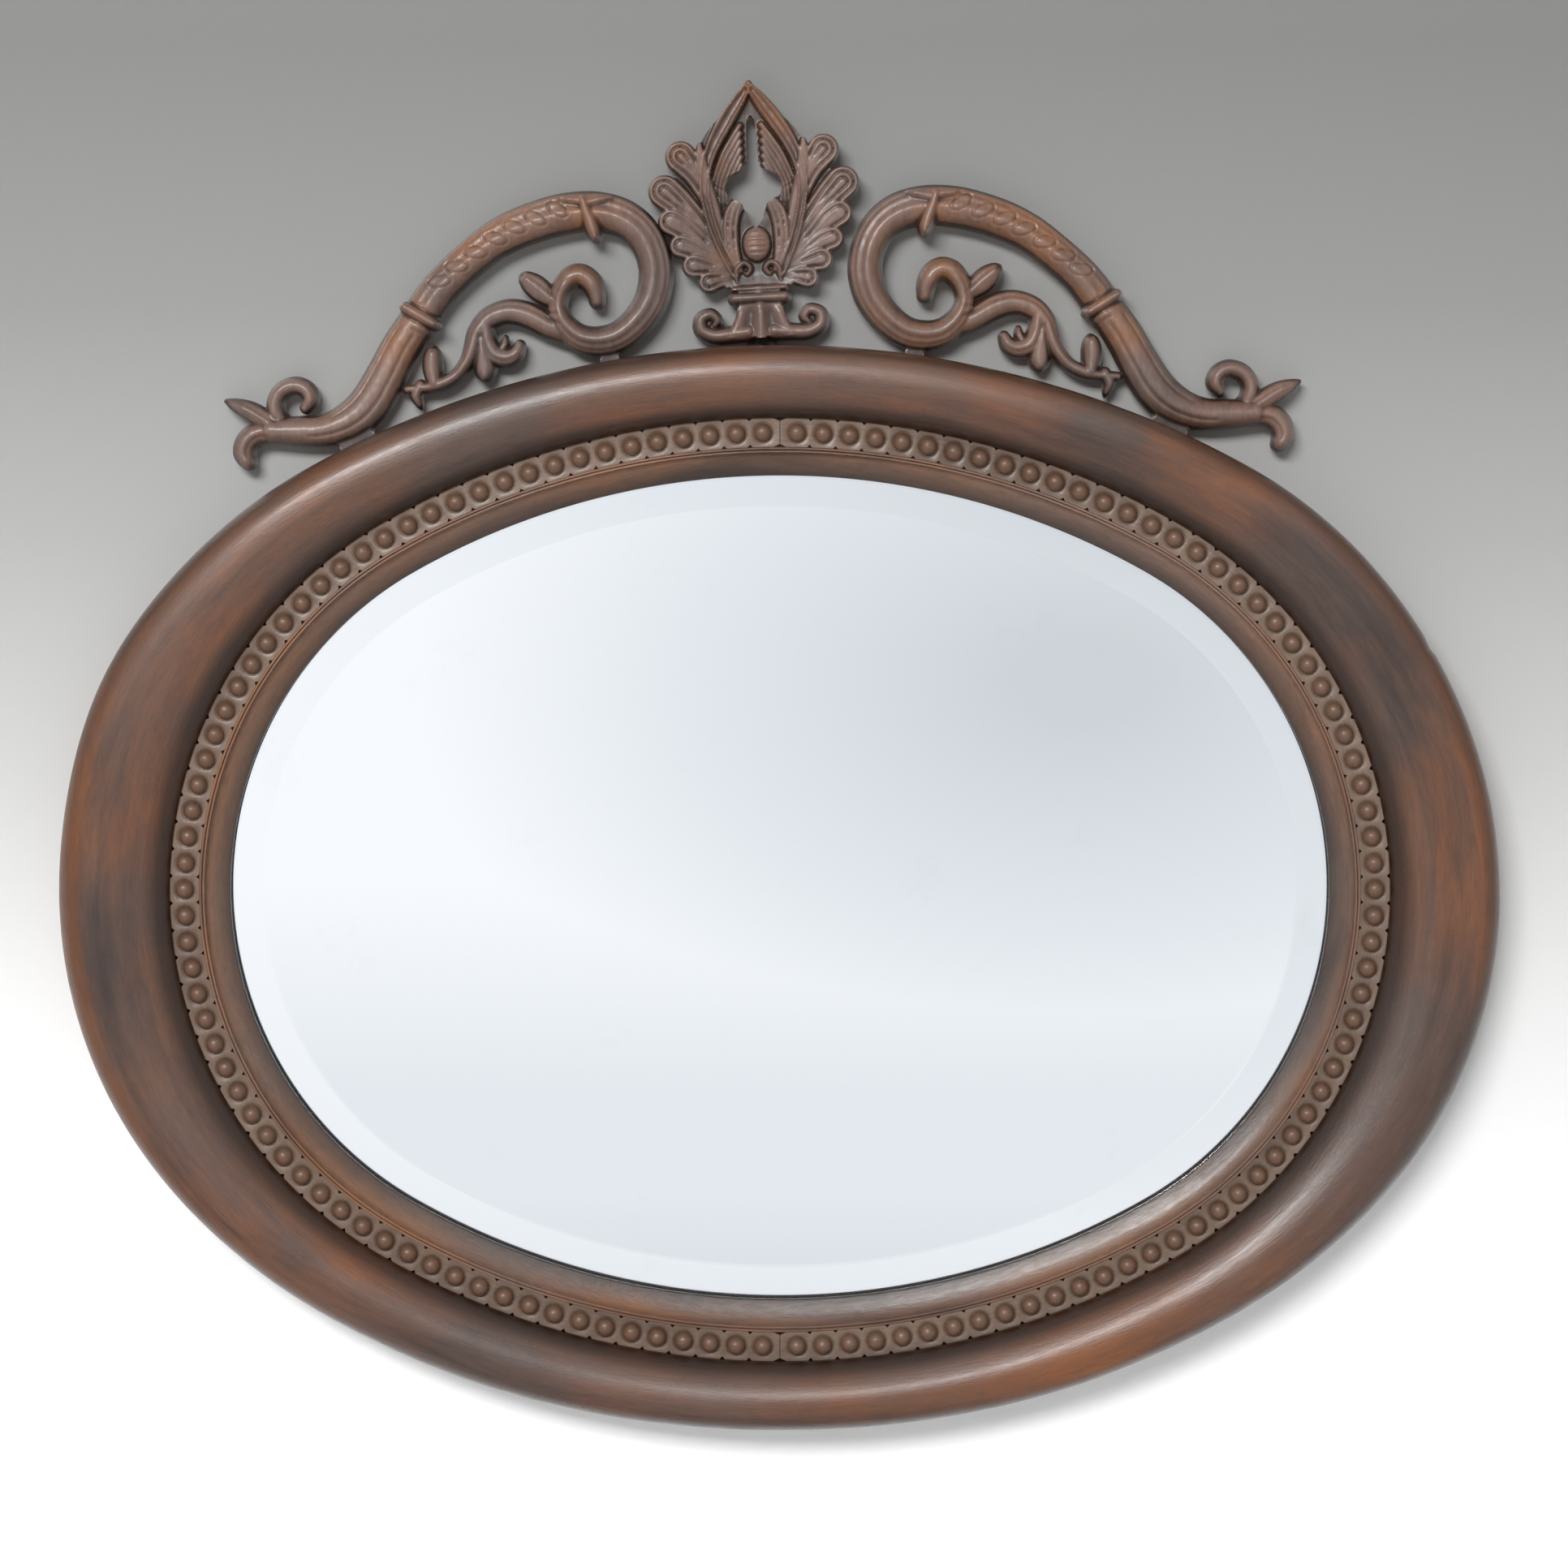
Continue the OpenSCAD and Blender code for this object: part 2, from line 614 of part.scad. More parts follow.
TAIL = [
    [200, 24, 22], [213, 5, 23], [222.5, -12.5, 24], [231, -27, 25], [239.5, -36, 24.5], [250, -42, 22],
    [262, -45, 19.5], [276, -45, 18], [290, -44.5, 15.5]
];
TAIL_SPIRAL = [
    [279.5, -43.5, 12], [286.5, -37, 11], [288.5, -28.5, 11], [284.5, -21, 11], [276.5, -18, 11],
    [270, -20.5, 10.5], [267.5, -26, 10], [270.5, -31, 7.5]
];
TAIL_LEAF = [[284.5, -45, 12], [294, -38.5, 12.5], [303.5, -32.5, 11.5], [311.5, -29, 8], [317.5, -26.5, 3]];
TAIL_LOBE = [[288, -46, 13], [298, -45.5, 14.5], [305, -50, 14.5], [307.5, -57, 13.5], [305, -63, 9.5]];
TENDRIL = [
    [113.5, 10, 13], [125.5, 14.5, 13.5], [135.5, 20.5, 13.5], [145, 24, 13.5], [153.5, 24, 12.5],
    [162, 20, 12.5], [168, 12, 12], [171.5, 2, 10], [175, -6, 9], [181.5, -14, 8.5], [190, -18.5, 8.5],
    [198.5, -20.5, 7.5], [210, -21.5, 6]
];
UNDER_CURL = [[163.5, 15.5, 9.5], [162.5, 6, 11], [158.5, -2, 11.5], [152, -5, 10], [146, -3.5, 7.5], [144, 0, 5]];
UNDER_HOOK = [[156.5, -1, 6], [153.5, 2.5, 5.5], [153.5, 5.5, 3]];
UNDER_LOBE = [[166, 6, 11], [165, -3, 13.5], [164, -9.5, 14], [164, -14, 8.5]];
FORK_UP = [[194, -17.5, 9.5], [195, -9.5, 12.5], [195, -3, 11.5], [194.5, 1.5, 5.5]];
FORK_DOWN = [[202.5, -20, 8.5], [205, -25, 7.5], [203.5, -30, 5], [202.5, -33, 1.5]];
BUD = [[121, 27, 7], [126, 32, 11.5], [132, 37, 14], [137.5, 41.5, 10], [141.5, 45, 2]];
DROP_LEAF = [[103.5, 87, 10], [101.5, 80.5, 12], [99, 72.5, 10.5], [96.5, 67, 7.5], [96, 63, 2.5]];
COLLAR = [[190.5, 15, 5], [193, 16.5, 8], [201.5, 21.5, 8], [209.5, 26.5, 8], [212, 28, 5]];
COLLAR_RISE = 2.5;
FOOT_PEG_W = 14;
FOOT_PEG_H = 9;
TAIL_SEAT_W = 26;
TAIL_SEAT_H = 12;
SEAT_DEPTH = 15;
SEAT_SETBACK = 3;

module scroll() {
    difference() {
        union() {
            edge_stem(MAIN_STEM, stem_t, 10);
            edge_stem(TAIL, stem_t, 10);
            for (route = [TAIL_SPIRAL, TAIL_LEAF, TAIL_LOBE, TENDRIL, UNDER_CURL, UNDER_HOOK,
                          UNDER_LOBE, FORK_UP, FORK_DOWN, BUD])
                edge_stem(route, tendril_t, 8);
            edge_stem(DROP_LEAF, stem_t + COLLAR_RISE, 8);
            edge_stem(COLLAR, stem_t + COLLAR_RISE, 8);
            scroll_seat(foot_turn, FOOT_PEG_W, FOOT_PEG_H);
            scroll_seat(tail_turn, TAIL_SEAT_W, TAIL_SEAT_H);
        }
        behind_crest();
        translate([0, -frame_big_r, -1]) cylinder(r = frame_big_r, h = 2 * stem_t, $fn = 360);
    }
}

module edge_stem(route, t, sides) {
    stem([for (p = route) on_edge(p)], t, 2, sides);
}

// All that lies behind the crest's flat back
module behind_crest() {
    translate([-frame_w, -frame_w, -stem_t]) cube([2 * frame_w, 2 * frame_w, stem_t]);
}

// Block under the scroll that the frame's edge cuts to its seat
module scroll_seat(t, w, rise) {
    translate([0, -frame_big_r, 0]) rotate([0, 0, -t]) translate([-w / 2, frame_big_r - SEAT_DEPTH, 0])
        cube([w, SEAT_DEPTH + rise, side_h - SEAT_SETBACK]);
}

module crest_scroll(side) {
    color(carved) stand() difference() {
        on_crest() mirror([side < 0 ? 1 : 0, 0, 0]) scroll();
        crest_carving_bores();
    }
}

// Palmette: half of its ground, its ribs and its volute, from the crest's middle and the frame's edge
LOBES = [[43, 115, 8], [54, 94, 8.8], [50, 76, 6.8], [45, 61, 6.2], [38, 49, 6.5], [29, 39, 6.5]];
GROUND = [
    [0, 159], [5, 151], [11, 143], [20, 134], [27, 126], [33, 117], [43, 112], [53, 94], [49, 76],
    [44, 60], [36, 48], [27, 39], [12, 34], [0, 34]
];
RIBS = [
    [[12, 44, 8], [20, 62, 9], [26, 84, 10], [27, 101, 9], [23, 116, 8], [15, 130, 7], [6, 144, 6], [0, 156, 3]],
    [[17, 56, 6], [27, 86, 8], [36, 105, 10], [43, 116, 11]],
    [[14, 48, 6], [30, 70, 8], [44, 86, 11], [55, 94, 13]],
    [[14, 46, 6], [32, 63, 8], [43, 73, 10], [50, 76, 10]],
    [[14, 44, 6], [30, 54, 8], [39, 60, 9], [45, 61, 9]],
    [[14, 42, 6], [27, 48, 8], [38, 49, 10]],
    [[12, 39, 6], [21, 41, 8], [29, 39, 9]],
    [[26, 98, 6], [20, 114, 6], [12, 126, 5], [6, 133, 3]],
    [[25, 92, 6], [18, 106, 6], [10, 115, 5], [6, 119, 3]],
    [[9, 50, 6], [14, 64, 7], [15, 76, 7], [11, 86, 8]]
];
VOLUTE = [
    [8, 8, 10.5], [20, 6.5, 10], [28.5, 7, 10], [35, 12, 9.5], [35, 17.5, 8], [31, 19.5, 6.5], [28.5, 16.5, 5.5]
];
// Round holes of the pierced opening, as [x, y, radius], and the straight cuts between them
OPENING = [[0, 92, 19], [0, 72, 5], [0, 131, 4]];
SLOT = [[-4, 131], [4, 131], [4.5, 105], [-4.5, 105]];
THROAT = [[-16, 82], [16, 82], [5, 72], [-5, 72]];
BERRY = [0, 60, 8];
BERRY_DROP = 2;
COLLAR_D = 11;
COLLAR_W = 34;
COLLAR_Y = 29;
FOOT_T = 13;
FOOT = [[20, 5], [15, 14], [12.5, 24], [12.5, 36], [-12.5, 36], [-12.5, 24], [-15, 14], [-20, 5]];
FLUTES = [-6, 0, 6];
FLUTE_D = 3.5;
FLUTE_L = 20;

module palmette_half() {
    linear_extrude(palmette_t) difference() {
        union() {
            polygon(GROUND);
            for (p = LOBES) translate([p[0], p[1]]) circle(p[2]);
        }
        for (p = OPENING) translate([p[0], p[1]]) circle(p[2]);
        polygon(SLOT);
        polygon(THROAT);
    }
    for (route = RIBS) stem(route, rib_t, 2);
    stem(VOLUTE, tendril_t, 2);
}

module palmette() {
    difference() {
        union() {
            palmette_half();
            mirror([1, 0, 0]) palmette_half();
            translate([BERRY[0], BERRY[1], 0]) scale([0.8, 1, 1]) cylinder(r = BERRY[2], h = rib_t - BERRY_DROP);
            translate([-COLLAR_W / 2, COLLAR_Y, FOOT_T / 2]) rotate([0, 90, 0])
                cylinder(d = COLLAR_D, h = COLLAR_W);
            linear_extrude(FOOT_T) polygon(FOOT);
        }
        for (x = FLUTES) translate([x, 0, FOOT_T]) rotate([-90, 0, 0]) cylinder(d = FLUTE_D, h = FLUTE_L);
        behind_crest();
    }
}

module crest_palmette() {
    color(carved) stand() difference() {
        on_crest() translate([0, palmette_gap, 0]) rotate([0, 0, palmette_lean])
            scale([crest_k, crest_k, 1]) translate([0, -FOOT[0][1], 0]) palmette();
        crest_carving_bores();
    }
}

outer_frame();
sight_slip();
bead_run_left();
bead_run_right();
mirror_glass();
liner_sheet();
backing_board();
turn_button(0);  // turn_button_1
turn_button(1);  // turn_button_2
turn_button(2);  // turn_button_3
turn_button(3);  // turn_button_4
turn_button(4);  // turn_button_5
turn_button(5);  // turn_button_6
turn_button(6);  // turn_button_7
turn_button(7);  // turn_button_8
button_screws();
hanger_strap(-1);  // hanger_strap_left
hanger_strap(1);  // hanger_strap_right
hanger_ring(-1);  // hanger_ring_left
hanger_ring(1);  // hanger_ring_right
hanger_screws();
wall_bumpers();
crest_palmette();
crest_scroll(-1);  // crest_scroll_left
crest_scroll(1);  // crest_scroll_right
palmette_plate();
scroll_plates();
crest_screws();
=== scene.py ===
"""Oval wall mirror: beaded torus frame, carved crest, bevelled glass and the fittings on its back.

Work is drawn flat in millimetres, x across and y up from the middle of the glass, with heights counted from the
frame's back. The function stand puts it up against the wall, in metres.
"""

import logging
import math
from collections.abc import Callable, Mapping, Sequence
from dataclasses import dataclass
from enum import Enum
from functools import cache

import bpy
import numpy as np
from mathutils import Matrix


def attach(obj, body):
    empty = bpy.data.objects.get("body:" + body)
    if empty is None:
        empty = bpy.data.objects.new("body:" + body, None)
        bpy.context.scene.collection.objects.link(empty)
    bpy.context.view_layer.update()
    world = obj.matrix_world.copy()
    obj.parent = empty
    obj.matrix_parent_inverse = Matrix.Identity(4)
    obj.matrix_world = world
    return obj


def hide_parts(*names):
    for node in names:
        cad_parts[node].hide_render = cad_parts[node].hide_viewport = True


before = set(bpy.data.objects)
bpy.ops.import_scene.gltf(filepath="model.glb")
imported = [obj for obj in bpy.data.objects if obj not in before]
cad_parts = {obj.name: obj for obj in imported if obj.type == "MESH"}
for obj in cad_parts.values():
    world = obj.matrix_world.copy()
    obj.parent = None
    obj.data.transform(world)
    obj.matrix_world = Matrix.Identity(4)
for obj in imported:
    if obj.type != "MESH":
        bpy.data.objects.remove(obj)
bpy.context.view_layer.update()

LOG = logging.getLogger("oval_mirror")
MM = 0.001  # a millimetre in metres
BACK = 6.0  # the bumpers hold the frame's back this far off the wall
BODY = "root"
Colour = tuple[float, float, float]
Place = tuple[float, float, float]
Route = Sequence[Place]
Traced = dict[str, np.ndarray]
Socket = bpy.types.NodeSocket
Sockets = Mapping[str, Socket]
Shade = Callable[["Tree", Socket], bpy.types.Node]


def linear(colour: Colour, alpha: float = 1.0) -> tuple[float, float, float, float]:
    """Turns a colour of 0 to 255 into the shader's linear values.

    Args:
        colour: Red, green and blue as seen on screen.
        alpha: Opacity to add.

    Returns:
        Linear red, green, blue and alpha.
    """
    shares = [c / 255 for c in colour]
    return (*[s / 12.92 if s <= 0.04045 else ((s + 0.055) / 1.055) ** 2.4 for s in shares], alpha)


def stand(flat: np.ndarray, height: np.ndarray | float) -> np.ndarray:
    """Stands flat work up against the wall.

    Args:
        flat: Points in millimetres, x across and y up, in the last axis.
        height: Height above the frame's back in millimetres.

    Returns:
        Points in metres in the shared frame.
    """
    depth = np.broadcast_to(-(BACK + np.asarray(height, float)), flat.shape[:-1])
    return np.stack([flat[..., 0], depth, flat[..., 1]], axis=-1) * MM


def bell(value: np.ndarray, at: float, reach: float) -> np.ndarray:
    """Bell curve, 1 high, about a value."""
    return np.exp(-(((value - at) / reach) ** 2))


def smooth_route(route: Route, step: float) -> np.ndarray:
    """Samples the smooth curve through a route's points.

    Args:
        route: Points with a width each.
        step: Wanted distance between samples.

    Returns:
        One row for each sample: x, y and width.
    """
    points = np.array(route, float)
    if len(points) == 2:
        points = np.array([points[0], points.mean(axis=0), points[1]])
    last = len(points) - 1
    rows = []
    for i in range(last):
        a, b = points[max(i - 1, 0)], points[i]
        c, d = points[i + 1], points[min(i + 2, last)]
        count = max(2, int(np.hypot(*(c - b)[:2]) / step))
        t = (np.arange(count) / count)[:, None]
        rows.append(
            0.5 * (2 * b + (c - a) * t + (2 * a - 5 * b + 4 * c - d) * t**2 + (3 * b - a - 3 * c + d) * t**3)
        )
    rows.append(points[-1:])
    path = np.concatenate(rows)
    path[:, 2] = np.maximum(path[:, 2], 0.4)
    return path


@dataclass(frozen=True)
class Oval:
    """Oval of four arcs, its ends drawn with a radius a little under half its height, in millimetres."""

    half_w: float
    half_h: float
    drop: float = 29.0

    @property
    def end_r(self) -> float:
        """Radius of the two ends."""
        return self.half_h - self.drop

    @property
    def big_r(self) -> float:
        """Radius of the upper and lower arcs."""
        reach = self.half_w - self.end_r
        return (self.half_h**2 + reach**2 - self.end_r**2) / (2 * self.drop)

    @property
    def split(self) -> float:
        """Angle of the normal where an end meets an upper arc."""
        return math.atan2(self.big_r - self.half_h, self.half_w - self.end_r)

    @property
    def half_length(self) -> float:
        """Length of the right half, from top to bottom."""
        return 2 * self.big_r * (math.pi / 2 - self.split) + 2 * self.end_r * self.split

    def grown(self, offset: float) -> "Oval":
        """The same oval moved outward by an offset."""
        return Oval(self.half_w + offset, self.half_h + offset, self.drop)

    def turn_at(self, length: np.ndarray) -> np.ndarray:
        """Angle of the normal at lengths counted clockwise from the top.

        Args:
            length: Lengths along the oval.

        Returns:
            Angles in radians.
        """
        whole = 2 * self.half_length
        s = np.mod(length, whole)
        left = s > self.half_length
        s = np.where(left, whole - s, s)
        quarter = self.big_r * (math.pi / 2 - self.split)
        end = 2 * self.end_r * self.split
        top = math.pi / 2 - s / self.big_r
        side = self.split - (s - quarter) / self.end_r
        low = -math.pi / 2 + (self.half_length - s) / self.big_r
        turn = np.where(s < quarter, top, np.where(s < quarter + end, side, low))
        return np.where(left, math.pi - turn, turn)

    def point(self, turn: np.ndarray) -> np.ndarray:
        """Points whose outward normals point at the given angles.

        Args:
            turn: Angles in radians.

        Returns:
            Points with x and y in the last axis.
        """
        c, s = np.cos(turn), np.sin(turn)
        in_end = np.abs(s) < math.sin(self.split)
        end = np.stack([np.sign(c) * (self.half_w - self.end_r) + self.end_r * c, self.end_r * s], axis=-1)
        centre = self.big_r - self.half_h
        big = np.stack([self.big_r * c, self.big_r * s - np.sign(s) * centre], axis=-1)
        return np.where(in_end[..., None], end, big)

    def walk(self, steps: int) -> tuple[np.ndarray, np.ndarray]:
        """Steps evenly clockwise round the oval, from the top.

        Args:
            steps: Number of steps.

        Returns:
            A column of the normal's angles, and the share of the way round as an angle.
        """
        length = np.arange(steps) / steps * 2 * self.half_length
        return self.turn_at(length)[:, None], length / self.half_length * math.pi


SIGHT = Oval(323.5, 242.5)  # inner edge of the slip
RIM = Oval(422.0, 317.0, 35.0)  # outer side of the ring
STRIP_IN, STRIP_OUT = 16.5, 33.5  # sides of the beaded strip, as offsets from the sight edge
STRIP_LINE = SIGHT.grown((STRIP_IN + STRIP_OUT) / 2)
SEAM = 24.0  # joint of slip and ring under the strip, as an offset
GLUE_GAP = 0.1
SHELF_H, STRIP_H = 19.0, 25.0  # heights under the strip and on it


class Shop:
    """The common moves at the bench: starting, selecting, colouring and closing a mesh."""

    @staticmethod
    def clear() -> None:
        """Leaves nothing selected."""
        if bpy.context.object and bpy.context.object.mode != "OBJECT":
            bpy.ops.object.mode_set(mode="OBJECT")
        bpy.ops.object.select_all(action="DESELECT")

    @staticmethod
    def take(obj: bpy.types.Object) -> None:
        """Makes one object the only selected and active one.

        Args:
            obj: Object to work on.
        """
        Shop.clear()
        obj.select_set(True)
        bpy.context.view_layer.objects.active = obj

    @staticmethod
    def edit(obj: bpy.types.Object, action: str) -> None:
        """Enters edit mode with everything or nothing selected.

        Args:
            obj: Object to edit.
            action: SELECT or DESELECT.
        """
        Shop.take(obj)
        bpy.ops.object.mode_set(mode="EDIT")
        bpy.ops.mesh.select_all(action=action)

    @staticmethod
    def named(name: str) -> bpy.types.Object:
        """Names the object that an operator has just added, and its mesh.

        Args:
            name: Name of the piece.

        Returns:
            The object.
        """
        obj = bpy.context.object
        obj.name = name
        obj.data.name = name
        return obj

    @staticmethod
    def points(obj: bpy.types.Object) -> np.ndarray:
        """The mesh's vertices, one row each.

        Args:
            obj: Object to read.

        Returns:
            Rows of x, y and z.
        """
        flat = np.zeros(len(obj.data.vertices) * 3)
        obj.data.vertices.foreach_get("co", flat)
        return flat.reshape(-1, 3)

    @staticmethod
    def move(obj: bpy.types.Object, points: np.ndarray) -> None:
        """Puts the mesh's vertices at new places."""
        obj.data.vertices.foreach_set("co", points.ravel())
        obj.data.update()

    @staticmethod
    def select(obj: bpy.types.Object, verts: np.ndarray) -> None:
        """Selects vertices by a mask and enters edit mode in vertex mode.

        Args:
            obj: Object to edit.
            verts: True for each vertex to select.
        """
        Shop.take(obj)
        mesh = obj.data
        mesh.polygons.foreach_set("select", np.zeros(len(mesh.polygons), bool))
        mesh.edges.foreach_set("select", np.zeros(len(mesh.edges), bool))
        mesh.vertices.foreach_set("select", verts.astype(bool))
        bpy.context.tool_settings.mesh_select_mode = (True, False, False)
        bpy.ops.object.mode_set(mode="EDIT")

    @staticmethod
    def selected(obj: bpy.types.Object) -> np.ndarray:
        """Leaves edit mode and returns the mask of selected vertices.

        Args:
            obj: Object that is edited.

        Returns:
            True for each selected vertex.
        """
        bpy.ops.object.mode_set(mode="OBJECT")
        mask = np.zeros(len(obj.data.vertices), bool)
        obj.data.vertices.foreach_get("select", mask)
        return mask

    @staticmethod
    def open_edges(obj: bpy.types.Object) -> None:
        """Enters edit mode with the open edges selected.

        Args:
            obj: Object to edit.
        """
        Shop.edit(obj, "DESELECT")
        bpy.context.tool_settings.mesh_select_mode = (False, True, False)
        bpy.ops.mesh.select_non_manifold(extend=False)

    @staticmethod
    def extrude(way: tuple[float, float, float]) -> None:
        """Extrudes the selection by a vector."""
        bpy.ops.mesh.extrude_region_move(TRANSFORM_OT_translate={"value": way})

    @staticmethod
    def spun(name: str, section: np.ndarray, steps: int) -> tuple[bpy.types.Object, np.ndarray, np.ndarray]:
        """Spins a closed section into a ring.

        Args:
            name: Name of the piece.
            section: Distance out and height for each point, in millimetres.
            steps: Steps round the ring.

        Returns:
            The ring, and for each vertex its step round the ring and its point in the section.
        """
        reach = 300.0
        Shop.clear()
        bpy.ops.mesh.primitive_circle_add(vertices=len(section), radius=0.02, fill_type="NOTHING")
        ring = Shop.named(name)
        Shop.move(ring, np.stack([reach + section[:, 0], np.zeros(len(section)), section[:, 1]], axis=-1) * MM)
        Shop.select(ring, np.ones(len(section)))
        bpy.ops.mesh.spin(steps=steps, angle=2 * math.pi, center=(0, 0, 0), axis=(0, 0, 1), use_auto_merge=True)
        Shop.selected(ring)
        points = Shop.points(ring) / MM
        turn = np.arctan2(points[:, 1], points[:, 0]) / (2 * math.pi) * steps
        flat = np.stack([np.hypot(points[:, 0], points[:, 1]) - reach, points[:, 2]], axis=-1)
        near = np.argmin(np.linalg.norm(flat[:, None] - section[None], axis=-1), axis=1)
        return ring, np.mod(np.round(turn).astype(int), steps), near

    @staticmethod
    def close(obj: bpy.types.Object, degrees: float) -> None:
        """Turns all faces outward and shades them smooth, but keeps edges sharper than an angle.

        Args:
            obj: Object to finish.
            degrees: Angle from which an edge stays sharp.
        """
        Shop.edit(obj, "SELECT")
        bpy.ops.mesh.normals_make_consistent(inside=False)
        bpy.ops.object.mode_set(mode="OBJECT")
        bpy.ops.object.shade_smooth_by_angle(angle=math.radians(degrees))

    @staticmethod
    def paint(obj: bpy.types.Object, name: str, values: np.ndarray) -> None:
        """Stores one number or one vector for each vertex, for the finish to read.

        Args:
            obj: Object to mark.
            name: Name of the attribute.
            values: One number or one row of three for each vertex.
        """
        kind, key = ("FLOAT", "value") if values.ndim == 1 else ("FLOAT_VECTOR", "vector")
        attribute = obj.data.attributes.new(name, kind, "POINT")
        attribute.data.foreach_set(key, values.astype(np.float32).ravel())

    @staticmethod
    def dress(obj: bpy.types.Object, *materials: bpy.types.Material) -> None:
        """Gives an object its materials in place of those that it has.

        Args:
            obj: Object to dress.
            materials: Its materials, in the order of its slots.
        """
        obj.data.materials.clear()
        for material in materials:
            obj.data.materials.append(material)

    @staticmethod
    def fit(obj: bpy.types.Object, slot: str, *nodes: str) -> None:
        """Sets a piece on the root body in place of CAD nodes.

        Args:
            obj: Finished piece.
            slot: Name of a material slot of the record; it is not used.
            nodes: CAD nodes that it stands for.
        """
        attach(obj, BODY)
        if nodes:
            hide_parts(*nodes)
        LOG.info("%s: %d faces, in place of %s", obj.name, len(obj.data.polygons), ", ".join(nodes) or "nothing")


class Tree:
    """Short way to lay out shader nodes."""

    def __init__(self, tree: bpy.types.NodeTree) -> None:
        """Starts on an empty node tree."""
        self.tree = tree
        tree.nodes.clear()

    def add(self, kind: str, settings: dict[str, object] | None = None, **inputs: object) -> bpy.types.Node:
        """Adds a node, sets its options and fills or links its inputs.

        Args:
            kind: Node type without its ShaderNode prefix.
            settings: Options of the node.
            inputs: Input names, with _ for a space, or i and a number, and values or sockets.

        Returns:
            The new node.
        """
        node = self.tree.nodes.new("ShaderNode" + kind)
        for key, value in (settings or {}).items():
            setattr(node, key, value)
        for key, value in inputs.items():
            name = key.replace("_", " ")
            socket = node.inputs[int(name[1:])] if name[0] == "i" and name[1:].isdigit() else node.inputs[name]
            if isinstance(value, Socket):
                self.tree.links.new(value, socket)
            else:
                socket.default_value = value
        return node

    def maths(self, operation: str, a: object, b: object) -> Socket:
        """Result of a Math node on two values."""
        return self.add("Math", {"operation": operation}, i0=a, i1=b).outputs[0]

    def plus(self, a: object, b: object, share: float) -> Socket:
        """A value with a share of another one added."""
        return self.maths("ADD", a, self.maths("MULTIPLY", b, share))

    def mix(self, share: object, a: object, b: object, blend: str = "MIX") -> Socket:
        """Colour between two colours, by the share of the second one."""
        return self.add("Mix", {"data_type": "RGBA", "blend_type": blend}, i0=share, i6=a, i7=b).outputs[2]

    def ramp(self, value: Socket, stops: Sequence[tuple[float, Colour]]) -> Socket:
        """Colour ramp over a value.

        Args:
            value: Input socket.
            stops: Places and colours of 0 to 255.

        Returns:
            Colour socket.
        """
        node = self.add("ValToRGB", Fac=value)
        elements = node.color_ramp.elements
        while len(elements) < len(stops):
            elements.new(0.5)
        for element, (place, colour) in zip(elements, stops):
            element.position = place
            element.color = linear(colour)
        return node.outputs["Color"]

    def span(self, value: object, low: float, high: float, to_low: float = 0.0, to_high: float = 1.0) -> Socket:
        """Maps a value from one range to another, held at the ends."""
        return self.add("MapRange", {"clamp": True}, i0=value, i1=low, i2=high, i3=to_low, i4=to_high).outputs["Result"]

    def noise(self, place: Socket, scale: float, detail: float = 2.0, rough: float = 0.5, wry: float = 0.0) -> Socket:
        """Noise over a place: its scale, detail, roughness and distortion.

        Args:
            place: Coordinates to lay it over.
            scale: How fine it is.
            detail: How many finer layers it has.
            rough: Share of the finer layers.
            wry: How far it is distorted.

        Returns:
            Socket of its strength, 0 to 1.
        """
        return self.add(
            "TexNoise", Vector=place, Scale=scale, Detail=detail, Roughness=rough, Distortion=wry
        ).outputs["Fac"]

    def stretched(self, place: Socket, scale: Sequence[float], shift: Sequence[float] = (0.0, 0.0, 0.0)) -> Socket:
        """Coordinates scaled and then shifted."""
        return self.add("Mapping", Vector=place, Scale=scale, Location=shift).outputs["Vector"]

    def painted(self, name: str, output: str = "Fac") -> Socket:
        """What the piece was painted with under a name."""
        return self.add("Attribute", {"attribute_name": name}).outputs[output]

    def bumped(self, height: Socket, strength: float, distance: float) -> Socket:
        """Normal of a surface with small heights on it."""
        return self.add("Bump", Height=height, Strength=strength, Distance=distance).outputs["Normal"]


def mixed(name: str, shade: Shade) -> bpy.types.Material:
    """Mixes a material.

    Args:
        name: Name of the material.
        shade: Lays out its nodes over the object's coordinates and returns the last one.

    Returns:
        The new material.
    """
    material = bpy.data.materials.new(name)
    material.use_nodes = True
    tree = Tree(material.node_tree)
    surface = shade(tree, tree.add("TexCoord").outputs["Object"])
    tree.add("OutputMaterial", Surface=surface.outputs[0])
    return material


